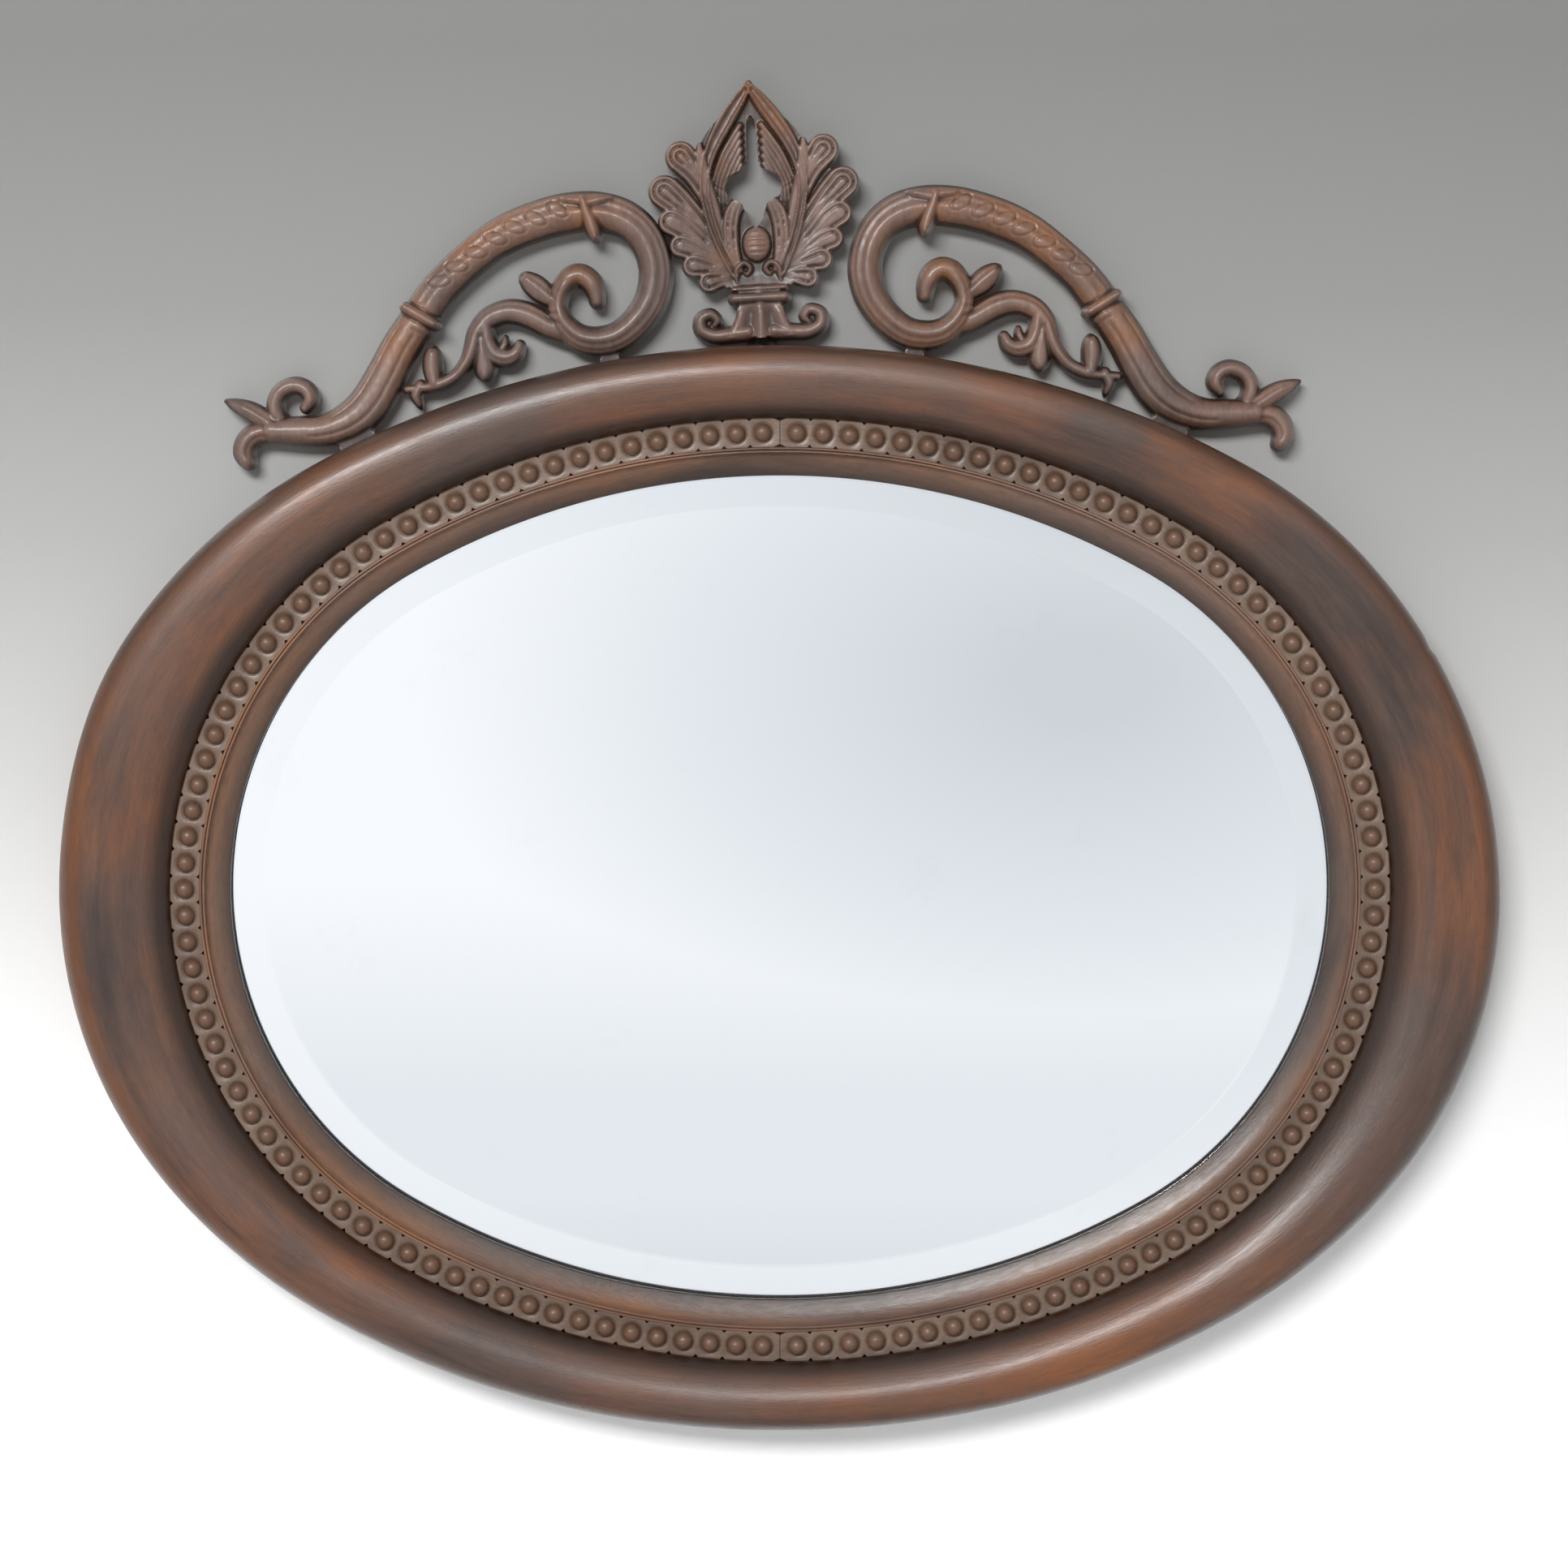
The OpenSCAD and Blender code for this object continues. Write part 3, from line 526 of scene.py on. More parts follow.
class Group:
    """Base of the shared effects, each a shader node group that is built once."""

    title = ""
    ins: tuple[tuple[str, str, object], ...] = ()
    outs: tuple[tuple[str, str], ...] = ()
    _built: dict[str, bpy.types.NodeTree] = {}

    def lay(self, tree: Tree, source: Sockets) -> dict[str, Socket]:
        """Lays out the group's nodes from its inputs and returns a socket for each output."""
        raise NotImplementedError

    def group(self) -> bpy.types.NodeTree:
        """The group's node tree, built on the first call.

        Returns:
            The node tree.
        """
        if self.title not in self._built:
            data = bpy.data.node_groups.new(self.title, "ShaderNodeTree")
            tree = Tree(data)
            for name, kind, value in self.ins:
                socket = data.interface.new_socket(name=name, in_out="INPUT", socket_type="NodeSocket" + kind)
                if value is not None:
                    socket.default_value = value
            for name, kind in self.outs:
                data.interface.new_socket(name=name, in_out="OUTPUT", socket_type="NodeSocket" + kind)
            source = data.nodes.new("NodeGroupInput")
            sink = data.nodes.new("NodeGroupOutput")
            for name, socket in self.lay(tree, source.outputs).items():
                data.links.new(socket, sink.inputs[name])
            self._built[self.title] = data
        return self._built[self.title]

    def place(self, tree: Tree, **inputs: object) -> Sockets:
        """Places the group in a material with its own values and returns its outputs."""
        return tree.add("Group", {"node_tree": self.group()}, **inputs).outputs


class WoodGrain(Group):
    """Streaks, slow drifts and fine pores that run along the first two coordinates."""

    title = "wood_grain"
    ins = (("Vector", "Vector", None), ("Scale", "Float", 1.0))
    outs = (("Streak", "Float"), ("Drift", "Float"), ("Pore", "Float"))

    def lay(self, tree: Tree, source: Sockets) -> dict[str, Socket]:
        """Lays three noises over the same scaled coordinates.

        Args:
            tree: Tree to lay out in.
            source: The group's inputs.

        Returns:
            A socket for each output.
        """
        place = tree.add("VectorMath", {"operation": "SCALE"}, i0=source["Vector"], Scale=source["Scale"]).outputs[0]
        return {
            "Streak": tree.span(tree.noise(place, 95.0, 5.0, 0.62, 0.35), 0.3, 0.7),
            "Drift": tree.span(tree.noise(place, 17.0, 3.0, 0.5, 0.6), 0.34, 0.66),
            "Pore": tree.span(tree.noise(place, 620.0, 3.0, 0.7), 0.42, 0.66),
        }


class Handling(Group):
    """Dark wax, with painted shade, in the hollows and low parts, and pale rubbed wood on what stands proud."""

    title = "handling"
    ins = (
        ("Color", "Color", (0.1, 0.1, 0.1, 1.0)),
        ("Cavity", "Float", 0.0),
        ("Wax", "Color", (0.02, 0.015, 0.01, 1.0)),
        ("Rubbed", "Color", (0.3, 0.22, 0.16, 1.0)),
        ("Vector", "Vector", None),
    )
    outs = (("Color", "Color"),)

    def lay(self, tree: Tree, source: Sockets) -> dict[str, Socket]:
        """Mixes both colours in by the cavity value, broken up by a noise.

        Args:
            tree: Tree to lay out in.
            source: The group's inputs.

        Returns:
            A socket for each output.
        """
        broken = tree.span(tree.noise(source["Vector"], 140.0, 4.0, 0.6), 0.3, 0.7, -0.18, 0.18)
        level = tree.maths("ADD", source["Cavity"], broken)
        waxed = tree.mix(tree.span(level, 0.05, 0.95, 0.0, 0.82), source["Color"], source["Wax"])
        return {"Color": tree.mix(tree.span(level, -0.2, -0.95, 0.0, 0.4), waxed, source["Rubbed"])}


class Grain(Enum):
    """What a wood finish's grain follows."""

    ATTRIBUTE = "the piece's own grain attribute"
    OBJECT = "the object's coordinates"


class Finish:
    """Base of the finishes: each lays out its own shader."""

    name: str

    def shade(self, tree: Tree, place: Socket) -> bpy.types.Node:
        """Lays out the shader over the object's coordinates."""
        raise NotImplementedError

    @cache
    def material(self) -> bpy.types.Material:
        """The finish's material, built on the first call."""
        return mixed(self.name, self.shade)


@dataclass(frozen=True)
class WoodFinish(Finish):
    """Stained and polished walnut; a ramp across the piece sets shares of its colour, partly stained and partly painted
    shade and light.
    """

    name: str
    dark: Colour
    mid: Colour
    light: Colour
    blush: Colour
    grain: Grain
    scale: float = 1.0
    blush_share: float = 0.5
    rough: float = 0.42
    bump: float = 0.12
    shading_and_stain: tuple[tuple[float, float], ...] = ()
    wax: Colour = (30, 22, 18)
    pore: Colour = (26, 19, 15)
    coat: float = 0.2
    coat_rough: float = 0.16
    shine: float = 0.42

    def colour(self, tree: Tree, place: Socket, streak: Socket, drift: Socket) -> Socket:
        """Colours the wood by its grain, by orange partly laid as painted light, and by stained tone and painted shade.

        Args:
            tree: Tree to lay out in.
            place: The object's coordinates.
            streak: Streaks of the grain.
            drift: Slow drift of the grain.

        Returns:
            Colour of clean wood.
        """
        base = tree.mix(streak, linear(self.dark), linear(self.mid))
        base = tree.mix(tree.maths("MULTIPLY", drift, 0.7), base, linear(self.light))
        warm = tree.span(tree.noise(place, 7.5, 3.0, 0.55), 0.42, 0.68, 0.0, self.blush_share)
        warm = tree.maths("MULTIPLY", warm, tree.span(streak, 0.1, 0.8, 0.35, 1.0))
        # The patch attribute adds orange painted light on the ring and carvings, and the beads' own redder tone.
        warm = tree.span(tree.plus(warm, tree.painted("patch"), 0.75), 0.0, 1.0)
        base = tree.mix(warm, base, linear(self.blush))
        if not self.shading_and_stain:
            return base
        # The ramp across the piece multiplies in stained tone and painted shade and light.
        stops = [(at, (255 * share,) * 3) for at, share in self.shading_and_stain]
        return tree.mix(1.0, base, tree.ramp(tree.painted("across"), stops), "MULTIPLY")

    def shade(self, tree: Tree, place: Socket) -> bpy.types.Node:
        """Lays out wood with wax and painted shade in its hollows, open pores and a thin coat of polish.

        Args:
            tree: Tree to lay out in.
            place: The object's coordinates.

        Returns:
            The shader.
        """
        if self.grain is Grain.ATTRIBUTE:
            vector = tree.painted("grain", "Vector")
        else:
            vector = tree.stretched(place, (1.0, 1.0, 0.22))
        grain = WoodGrain().place(tree, Vector=vector, Scale=self.scale)
        streak, pore = grain["Streak"], grain["Pore"]
        # Cavity darkens towards the wax colour: wax in hollows, and painted shade on low and shaded parts.
        worn = Handling().place(
            tree, Color=self.colour(tree, place, streak, grain["Drift"]), Cavity=tree.painted("cavity"), Vector=place,
            Wax=linear(self.wax), Rubbed=linear(self.light),
        )
        smear = tree.span(tree.noise(place, 26.0, 4.0, 0.6), 0.3, 0.7, self.rough - 0.07, self.rough + 0.1)
        relief = tree.maths("SUBTRACT", tree.maths("MULTIPLY", streak, 0.5), pore)
        return tree.add(
            "BsdfPrincipled", Base_Color=tree.mix(tree.maths("MULTIPLY", pore, 0.22), worn["Color"], linear(self.pore)),
            Roughness=tree.plus(smear, pore, 0.1), Normal=tree.bumped(relief, self.bump, 0.0006),
            Coat_Weight=self.coat, Coat_Roughness=self.coat_rough, Specular_IOR_Level=self.shine,
        )


@dataclass(frozen=True)
class MetalFinish(Finish):
    """Brass, zinc or blacked steel with tarnish and fine scratches."""

    name: str
    colour: Colour
    tarnish: Colour
    rough: float = 0.35
    metallic: float = 1.0

    def shade(self, tree: Tree, place: Socket) -> bpy.types.Node:
        """Lays out clouds of tarnish over scratched metal.

        Args:
            tree: Tree to lay out in.
            place: The object's coordinates.

        Returns:
            The shader.
        """
        cloud = tree.noise(place, 160.0, 6.0, 0.65)
        scratch = tree.noise(tree.stretched(place, (1.0, 1.0, 9.0)), 900.0, 3.0, 0.7)
        return tree.add(
            "BsdfPrincipled", Metallic=self.metallic, Normal=tree.bumped(scratch, 0.12, 0.0002),
            Base_Color=tree.mix(tree.span(cloud, 0.42, 0.7), linear(self.colour), linear(self.tarnish)),
            Roughness=tree.span(cloud, 0.3, 0.7, self.rough, self.rough + 0.22),
        )


@dataclass(frozen=True)
class SheetFinish(Finish):
    """Plywood, card or felt: a matt sheet with a grain or a nap."""

    name: str
    low: Colour
    high: Colour
    spot: Colour
    stretch: tuple[float, float, float] = (1.0, 1.0, 1.0)
    scale: float = 60.0
    rough: float = 0.8
    bump: float = 0.2

    def shade(self, tree: Tree, place: Socket) -> bpy.types.Node:
        """Lays out the grain, cloudy spots and the nap.

        Args:
            tree: Tree to lay out in.
            place: The object's coordinates.

        Returns:
            The shader.
        """
        grain = tree.noise(tree.stretched(place, self.stretch), self.scale, 7.0, 0.6, 0.4)
        cloud = tree.noise(place, 9.0, 4.0, 0.55)
        base = tree.mix(tree.span(grain, 0.32, 0.68), linear(self.low), linear(self.high))
        height = tree.plus(grain, tree.noise(place, 1400.0), 0.6)
        return tree.add(
            "BsdfPrincipled", Base_Color=tree.mix(tree.span(cloud, 0.5, 0.8, 0.0, 0.6), base, linear(self.spot)),
            Roughness=tree.span(cloud, 0.3, 0.7, self.rough - 0.06, self.rough + 0.08),
            Normal=tree.bumped(height, self.bump, 0.0005),
        )


@dataclass(frozen=True)
class GlassFinish(Finish):
    """Clear glass of the mirror's face and bevel."""

    name: str = "mirror_face"
    tint: Colour = (254, 255, 255)
    ior: float = 1.5

    def shade(self, tree: Tree, place: Socket) -> bpy.types.Node:
        """Lays out glass with a faint film on it.

        Args:
            tree: Tree to lay out in.
            place: The object's coordinates.

        Returns:
            The shader.
        """
        film = tree.span(tree.noise(place, 6.0, 4.0, 0.6), 0.4, 0.8, 0.0, 0.012)
        return tree.add(
            "BsdfPrincipled", Base_Color=linear(self.tint), Roughness=film, Transmission_Weight=1.0, IOR=self.ior
        )


@dataclass(frozen=True)
class SilverFinish(Finish):
    """Silvering on the back of the glass, a little foxed."""

    name: str = "mirror_silvering"
    silver: Colour = (254, 254, 255)
    fox: Colour = (246, 247, 247)

    def shade(self, tree: Tree, place: Socket) -> bpy.types.Node:
        """Lays out silver that is duller where it has foxed.

        Args:
            tree: Tree to lay out in.
            place: The object's coordinates.

        Returns:
            The shader.
        """
        fox = tree.noise(place, 18.0, 6.0, 0.7)
        return tree.add(
            "BsdfPrincipled", Metallic=1.0, Roughness=tree.span(fox, 0.5, 0.9, 0.0, 0.01),
            Base_Color=tree.mix(tree.span(fox, 0.6, 0.85, 0.0, 0.7), linear(self.silver), linear(self.fox)),
        )


# Ring ramp across: painted shade into the cove by the strip, over some real patina there, and on the outer side.
RING_WOOD = WoodFinish(
    "walnut_ring", (40, 27, 22), (79, 58, 48), (109, 87, 77), (144, 82, 33), Grain.ATTRIBUTE,
    blush_share=0.6, rough=0.3, shading_and_stain=((0.0, 0.45), (0.1, 0.55), (0.22, 0.95), (0.8, 1.0), (0.9, 0.76), (1.0, 0.7)),
)
# Slip ramp across: painted shade down by the glass and painted light up by the strip.
SLIP_WOOD = WoodFinish(
    "walnut_slip", (60, 42, 34), (104, 77, 63), (128, 101, 86), (140, 90, 50), Grain.ATTRIBUTE,
    blush_share=0.6, rough=0.3, shading_and_stain=((0.0, 0.55), (0.35, 0.8), (0.7, 1.06), (1.0, 1.08)),
)
STRIP_WOOD = WoodFinish(
    "walnut_beads", (78, 57, 43), (110, 87, 70), (130, 107, 90), (98, 66, 45), Grain.ATTRIBUTE,
    blush_share=0.2, rough=0.44,
)
CARVED_WOOD = WoodFinish(
    "walnut_carving", (60, 45, 40), (98, 77, 69), (132, 111, 103), (142, 92, 55), Grain.OBJECT,
    scale=0.6, blush_share=0.55, rough=0.38,
)
PLY = SheetFinish("birch_board", (150, 118, 84), (186, 152, 112), (132, 100, 70), (0.25, 1.0, 2.6), 70.0)
CARD = SheetFinish("liner_card", (128, 112, 88), (146, 130, 104), (110, 94, 72), scale=220.0)
FELT = SheetFinish("bumper_felt", (48, 46, 45), (68, 65, 62), (38, 36, 35), scale=900.0, rough=0.92, bump=0.6)
BRASS = MetalFinish("aged_brass", (186, 150, 84), (120, 92, 52), 0.3)
ZINC = MetalFinish("zinc_steel", (178, 180, 182), (132, 130, 126), 0.34)
BLACK_STEEL = MetalFinish("blacked_steel", (58, 56, 55), (40, 36, 34), 0.5)


@dataclass
class FrameRing:
    """The broad torus ring, with its shelf for the beaded strip.

    The section gives shares of the way out and of the height. The shaping gives the bearing, the reach in degrees
    and the millimetres of each place where the old rim stands out or in. The waves give the count round the ring,
    the phase and the size of its unevenness, which moves the rim in by inset and the face down by sag.
    """

    steps: int = 540
    height: float = 44.0
    arris: float = 1.2
    groove_h: float = 17.0
    groove: float = 0.7
    wide: float = 75.0
    inset: tuple[float, float] = (0.15, 0.07)
    sag: tuple[float, float] = (0.3, 0.14)
    knock: tuple[float, float, float] = (30.5, 0.012, 1.1)
    waves: tuple[tuple[float, float, float], ...] = ((3, 0.7, 1.0), (7, 2.1, 0.6), (13, 0.0, 0.4))
    shaping: tuple[tuple[float, float, float], ...] = (
        (90, 38, 2.0), (162, 9, 3.0), (215, 17, -5.0), (270, 24, -1.2), (325, 17, -5.4), (20, 15, -2.0),
    )
    section: tuple[tuple[float, float], ...] = (
        (0.0, 0.6), (0.015, 0.64), (0.06, 0.71), (0.13, 0.79), (0.22, 0.87), (0.33, 0.94), (0.45, 0.985),
        (0.57, 1.0), (0.69, 0.99), (0.8, 0.95), (0.89, 0.87), (0.95, 0.77), (0.985, 0.66), (1.0, 0.53),
    )

    def contour(self) -> np.ndarray:
        """The ring's closed section.

        Returns:
            Rows of the share of the way outward, or -1 at the slip, and the height.
        """
        face = smooth_route([(u, h * 10, 1.0) for u, h in self.section], 0.35)[:, :2]
        face[:, 1] *= self.height / 10
        groove = [(1.0, self.groove_h + self.groove), (0.993, self.groove_h), (1.0, self.groove_h - self.groove)]
        side = [(1.0, self.arris), (0.988, 0.0)]
        return np.array([(-1.0, 0.0), (-1.0, SHELF_H), (0.0, SHELF_H), *face.tolist(), *groove, *side])

    def lit_patches(self, bearing: np.ndarray, share: np.ndarray) -> np.ndarray:
        """Places where orange is laid on the ring as painted light, on slopes that catch the lamp.

        Args:
            bearing: Direction from the middle in degrees, as a column.
            share: Share of the way outward, as a row.

        Returns:
            Strength over the ring, a row for each step.
        """
        outer = (bell(bearing, 187, 24) + 0.5 * bell(bearing, 20, 30)) * np.clip((share - 0.72) / 0.2, 0, 1)
        inner = 0.35 * np.clip(1 - share / 0.22, 0, 1)
        return outer + inner + 0.55 * bell(bearing, 297, 32) * bell(share, 0.55, 0.3)

    def place(self) -> None:
        """Lays the rings of a torus round the oval, then dresses and fits the ring."""
        contour = self.contour()
        wide = np.stack([np.maximum(contour[:, 0] * self.wide, SEAM - STRIP_OUT + GLUE_GAP), contour[:, 1]], axis=-1)
        ring, step, near = Shop.spun("torus_ring", wide, self.steps)
        turn, around = SIGHT.grown(STRIP_OUT).walk(self.steps)
        share = np.maximum(contour[:, 0], 0.0)[None, :]
        wave = sum(size * np.sin(count * turn + phase) for count, phase, size in self.waves)
        inner = SIGHT.grown(STRIP_OUT + GLUE_GAP).point(turn)
        outer = RIM.point(turn)
        way = outer - inner
        bearing = np.degrees(np.arctan2(outer[..., 1], outer[..., 0])) % 360
        at, reach, deep = self.knock
        knock = deep * bell(turn, math.radians(at), reach) * share**4
        swell = sum(amount * bell(bearing, at, reach) for at, reach, amount in self.shaping)
        pull = (self.inset[0] + self.inset[1] * wave) * share**2 + knock - swell * share
        flat = inner + share[..., None] * way - way / np.linalg.norm(way, axis=-1, keepdims=True) * pull[..., None]
        flat = np.where(contour[None, :, :1] < 0, SIGHT.grown(SEAM + GLUE_GAP).point(turn), flat)
        rise = np.clip((contour[:, 1] - SHELF_H) / (self.height - SHELF_H), 0, 1)
        sag = (self.sag[0] + self.sag[1] * wave) * rise
        Shop.move(ring, stand(flat, contour[None, :, 1] - sag)[step, near])
        run = np.cumsum(self.gaps(contour * np.array([self.wide, 1.0])))
        self.mark(ring, around[step], run[near])
        Shop.paint(ring, "across", share[0][near])
        # Orange painted light on the ring's lit slopes.
        Shop.paint(ring, "patch", self.lit_patches(bearing, share)[step, near])
        Shop.close(ring, 38)
        Shop.dress(ring, RING_WOOD.material())
        Shop.fit(ring, "walnut_frame", "outer_frame")

    @staticmethod
    def gaps(contour: np.ndarray) -> np.ndarray:
        """Distances between neighbours of a contour."""
        return np.linalg.norm(np.diff(contour, axis=0, prepend=contour[:1]), axis=1)

    @staticmethod
    def mark(obj: bpy.types.Object, around: np.ndarray, across: np.ndarray) -> None:
        """Stores the grain, which runs round the oval.

        Args:
            obj: Ring to mark.
            around: Angle round the ring for each vertex.
            across: Distance over the section for each vertex, in millimetres.
        """
        reach = 0.05
        grain = np.stack([np.cos(around) * reach, np.sin(around) * reach, across * MM], axis=-1)
        Shop.paint(obj, "grain", grain)


@dataclass
class SightSlip:
    """The hollow slip between the glass and the beaded strip."""

    steps: int = 432
    lip_low: float = 11.7
    lip_high: float = 16.1
    rebate: float = 8.5
    fillet: float = 1.3
    step: float = 0.8

    def contour(self) -> np.ndarray:
        """The slip's closed section as offset from the sight edge and height.

        Returns:
            Rows of offset and height, in millimetres.
        """
        crown = STRIP_H + self.step
        wide = STRIP_IN - 2.4 * self.fillet - 1
        rise = STRIP_H - self.step - self.lip_high
        hollow = [
            (1 + wide * (1 - math.cos(q)), self.lip_high + rise * (1 - math.sqrt(max(math.cos(q), 0.0))))
            for q in np.radians(np.linspace(0, 90, 19))
        ]
        f = self.fillet
        beads = [
            (STRIP_IN - 2.4 * f, STRIP_H - 0.3), (STRIP_IN - 2.2 * f, STRIP_H), (STRIP_IN - 1.6 * f, STRIP_H),
            (STRIP_IN - 1.4 * f, STRIP_H - 0.3), (STRIP_IN - 1.25 * f, STRIP_H - self.step),
            (STRIP_IN - 1.05 * f, crown - 0.35), (STRIP_IN - 0.8 * f, crown), (STRIP_IN - 0.3 * f, crown),
            (STRIP_IN, crown - 0.4), (STRIP_IN, SHELF_H),
        ]
        lip = [(0.4, self.lip_low), (0.0, self.lip_low + 0.4), (0.0, self.lip_high - 0.8), (0.3, self.lip_high - 0.2)]
        back = [(SEAM, SHELF_H), (SEAM, 0.0), (self.rebate, 0.0), (self.rebate, self.lip_low)]
        return np.array([*lip, *hollow, *beads, *back])

    def place(self) -> None:
        """Builds, dresses and fits the slip."""
        contour = self.contour()
        slip, step, near = Shop.spun("sight_moulding", contour, self.steps)
        turn, around = SIGHT.walk(self.steps)
        normal = np.stack([np.cos(turn), np.sin(turn)], axis=-1)
        flat = SIGHT.point(turn) + normal * contour[None, :, :1]
        Shop.move(slip, stand(flat, contour[None, :, 1])[step, near])
        FrameRing.mark(slip, around[step] + 0.4, np.cumsum(FrameRing.gaps(contour))[near])
        Shop.paint(slip, "across", np.clip(contour[:, 0] / STRIP_IN, 0, 1)[near])
        shade = np.where(contour[:, 1] < self.lip_high - 0.5, 0.7, 0.0) * (contour[:, 0] < 2)
        Shop.paint(slip, "cavity", shade[near])
        Shop.close(slip, 32)
        Shop.dress(slip, SLIP_WOOD.material())
        Shop.fit(slip, "walnut_slip", "sight_slip")


@dataclass
class BeadRun:
    """Half of the beaded strip: one worked bead, repeated along the oval.

    The profile gives shares of the dish's radius and heights, from the cell's edge to the bead's foot.
    """

    side: int
    beads: int = 63
    end: float = 10.0
    joint: float = 0.2
    sides: int = 20
    bead_r: float = 5.4
    rise: float = 4.8
    dish_r: float = 6.7
    wear: float = 0.12
    profile: tuple[tuple[float, float], ...] = ((1.0, 0.0), (0.955, -0.2), (0.89, -0.5), (0.83, -0.5))

    @property
    def hand(self) -> str:
        """Which half it is."""
        return "right" if self.side > 0 else "left"

    @property
    def pitch(self) -> float:
        """Distance between beads along their middle line."""
        return (STRIP_LINE.half_length - 2 * self.end) / (self.beads - 1)

    def one_bead(self) -> tuple[bpy.types.Object, np.ndarray, np.ndarray]:
        """Works one bead in its cell with extrude and scale, lying flat round the origin.

        Returns:
            The cell, its vertices in millimetres, and for each one how deep in shade it lies.
        """
        Shop.clear()
        bpy.ops.mesh.primitive_circle_add(vertices=self.sides, radius=self.dish_r, fill_type="NOTHING")
        cell = Shop.named("bead")
        centre = -self.rise + self.bead_r
        dome = [
            (self.bead_r * math.cos(q) / self.dish_r, self.bead_r * math.sin(q) - centre)
            for q in np.radians([0, 14, 30, 47, 64, 80])
        ]
        rings = [*self.profile, *dome]
        Shop.select(cell, np.ones(self.sides))
        for (r0, h0), (r1, h1) in zip(rings, rings[1:]):
            Shop.extrude((0, 0, h1 - h0))
            bpy.ops.transform.resize(value=(r1 / r0, r1 / r0, 1.0), center_override=(0, 0, h1))
        bpy.ops.mesh.merge(type="CENTER")
        Shop.selected(cell)
        points = Shop.points(cell)
        points[np.argmin(np.hypot(points[:, 0], points[:, 1])), 2] = self.rise
        Shop.move(cell, points)
        Shop.select(cell, np.hypot(points[:, 0], points[:, 1]) > self.dish_r - 0.01)
        Shop.extrude((0, 0, 0))
        edge = Shop.selected(cell)
        points = Shop.points(cell)
        half = np.array([self.pitch, STRIP_OUT - STRIP_IN - GLUE_GAP]) / 2
        angle = np.round(np.arctan2(points[edge, 1], points[edge, 0]) / (2 * math.pi) * self.sides)
        points[edge, :2] = self.rectangle(angle.astype(int), half)
        Shop.move(cell, points)
        shade = bell(np.hypot(points[:, 0], points[:, 1]), self.bead_r * 1.05, 0.8) * (points[:, 2] < 1.0)
        return cell, points, 0.4 * shade - 0.25 * np.clip((points[:, 2] - 3.6) / 1.2, 0, 1)

    def rectangle(self, index: np.ndarray, half: np.ndarray) -> np.ndarray:
        """Spreads the points of a ring evenly over a rectangle's sides.

        Args:
            index: Number of each point round the ring, from the +x side.
            half: Half the rectangle's length and width.

        Returns:
            A row of x and y for each point.
        """
        eighth = self.sides / 4
        walk = np.mod(index + eighth / 2, self.sides)
        leg = np.floor(walk / eighth).astype(int)
        t = (walk / eighth - leg) * 2 - 1
        one = np.ones_like(t)
        xs = np.choose(leg, [one, -t, -one, t])
        ys = np.choose(leg, [t, one, -t, -one])
        return np.stack([xs * half[0], ys * half[1]], axis=-1)

    def worn(self, number: int, points: np.ndarray, rng: np.random.Generator) -> np.ndarray:
        """Wears one bead, sets it a little off its middle and lengthens the cell at a run's end.

        Args:
            number: Number of the bead from the top.
            points: The worked bead's vertices.
            rng: Source of the unevenness.

        Returns:
            The bead's own vertices.
        """
        local = points.copy()
        dome = np.hypot(local[:, 0], local[:, 1]) < self.dish_r * 0.95
        local[dome, 2] += rng.uniform(-self.wear, 0.0) * np.clip(local[dome, 2], 0, 1)
        local[dome, :2] += rng.uniform(-self.wear, self.wear, 2)
        limit, stretch = self.pitch / 2 - 1e-3, self.end - self.joint
        if number == 0:
            local[local[:, 0] < -limit, 0] = -stretch
        if number == self.beads - 1:
            local[local[:, 0] > limit, 0] = stretch
        return local

    def build(self) -> bpy.types.Object:
        """Lays copies of the bead along the oval, joins them and gives the strip its sides.

        Returns:
            The finished half run.
        """
        cell, points, shade = self.one_bead()
        rng = np.random.default_rng(11 + self.side)
        arounds = []
        Shop.clear()
        for i in range(self.beads):
            local = self.worn(i, points, rng)
            length = self.end + i * self.pitch + local[:, 0]
            turn = STRIP_LINE.turn_at(length)
            normal = np.stack([np.cos(turn), np.sin(turn)], axis=-1)
            flat = STRIP_LINE.point(turn) + normal * (local[:, 1:2] + GLUE_GAP / 2)
            flat[:, 0] *= self.side
            copy = cell.copy()
            copy.data = cell.data.copy()
            bpy.context.collection.objects.link(copy)
            Shop.move(copy, stand(flat, STRIP_H + local[:, 2]))
            copy.select_set(True)
            if i == 0:
                bpy.context.view_layer.objects.active = copy
            arounds.append(length / STRIP_LINE.half_length * math.pi * self.side)
        bpy.data.objects.remove(cell)
        bpy.ops.object.join()
        run = Shop.named(f"bead_strip_{self.hand}")
        FrameRing.mark(run, np.concatenate(arounds), np.tile(points[:, 1] + 20, self.beads))
        Shop.paint(run, "cavity", np.tile(shade, self.beads))
        Shop.paint(run, "patch", np.tile(np.clip(points[:, 2] / 1.5, 0, 1), self.beads))
        Shop.edit(run, "SELECT")
        bpy.ops.mesh.remove_doubles(threshold=1e-5)
        Shop.open_edges(run)
        Shop.extrude((0, (STRIP_H - SHELF_H) * MM, 0))
        bpy.ops.mesh.edge_face_add()
        Shop.close(run, 40)
        return run

    def place(self) -> None:
        """Builds, dresses and fits the half run."""
        run = self.build()
        Shop.dress(run, STRIP_WOOD.material())
        Shop.fit(run, "walnut_slip", f"bead_run_{self.hand}")


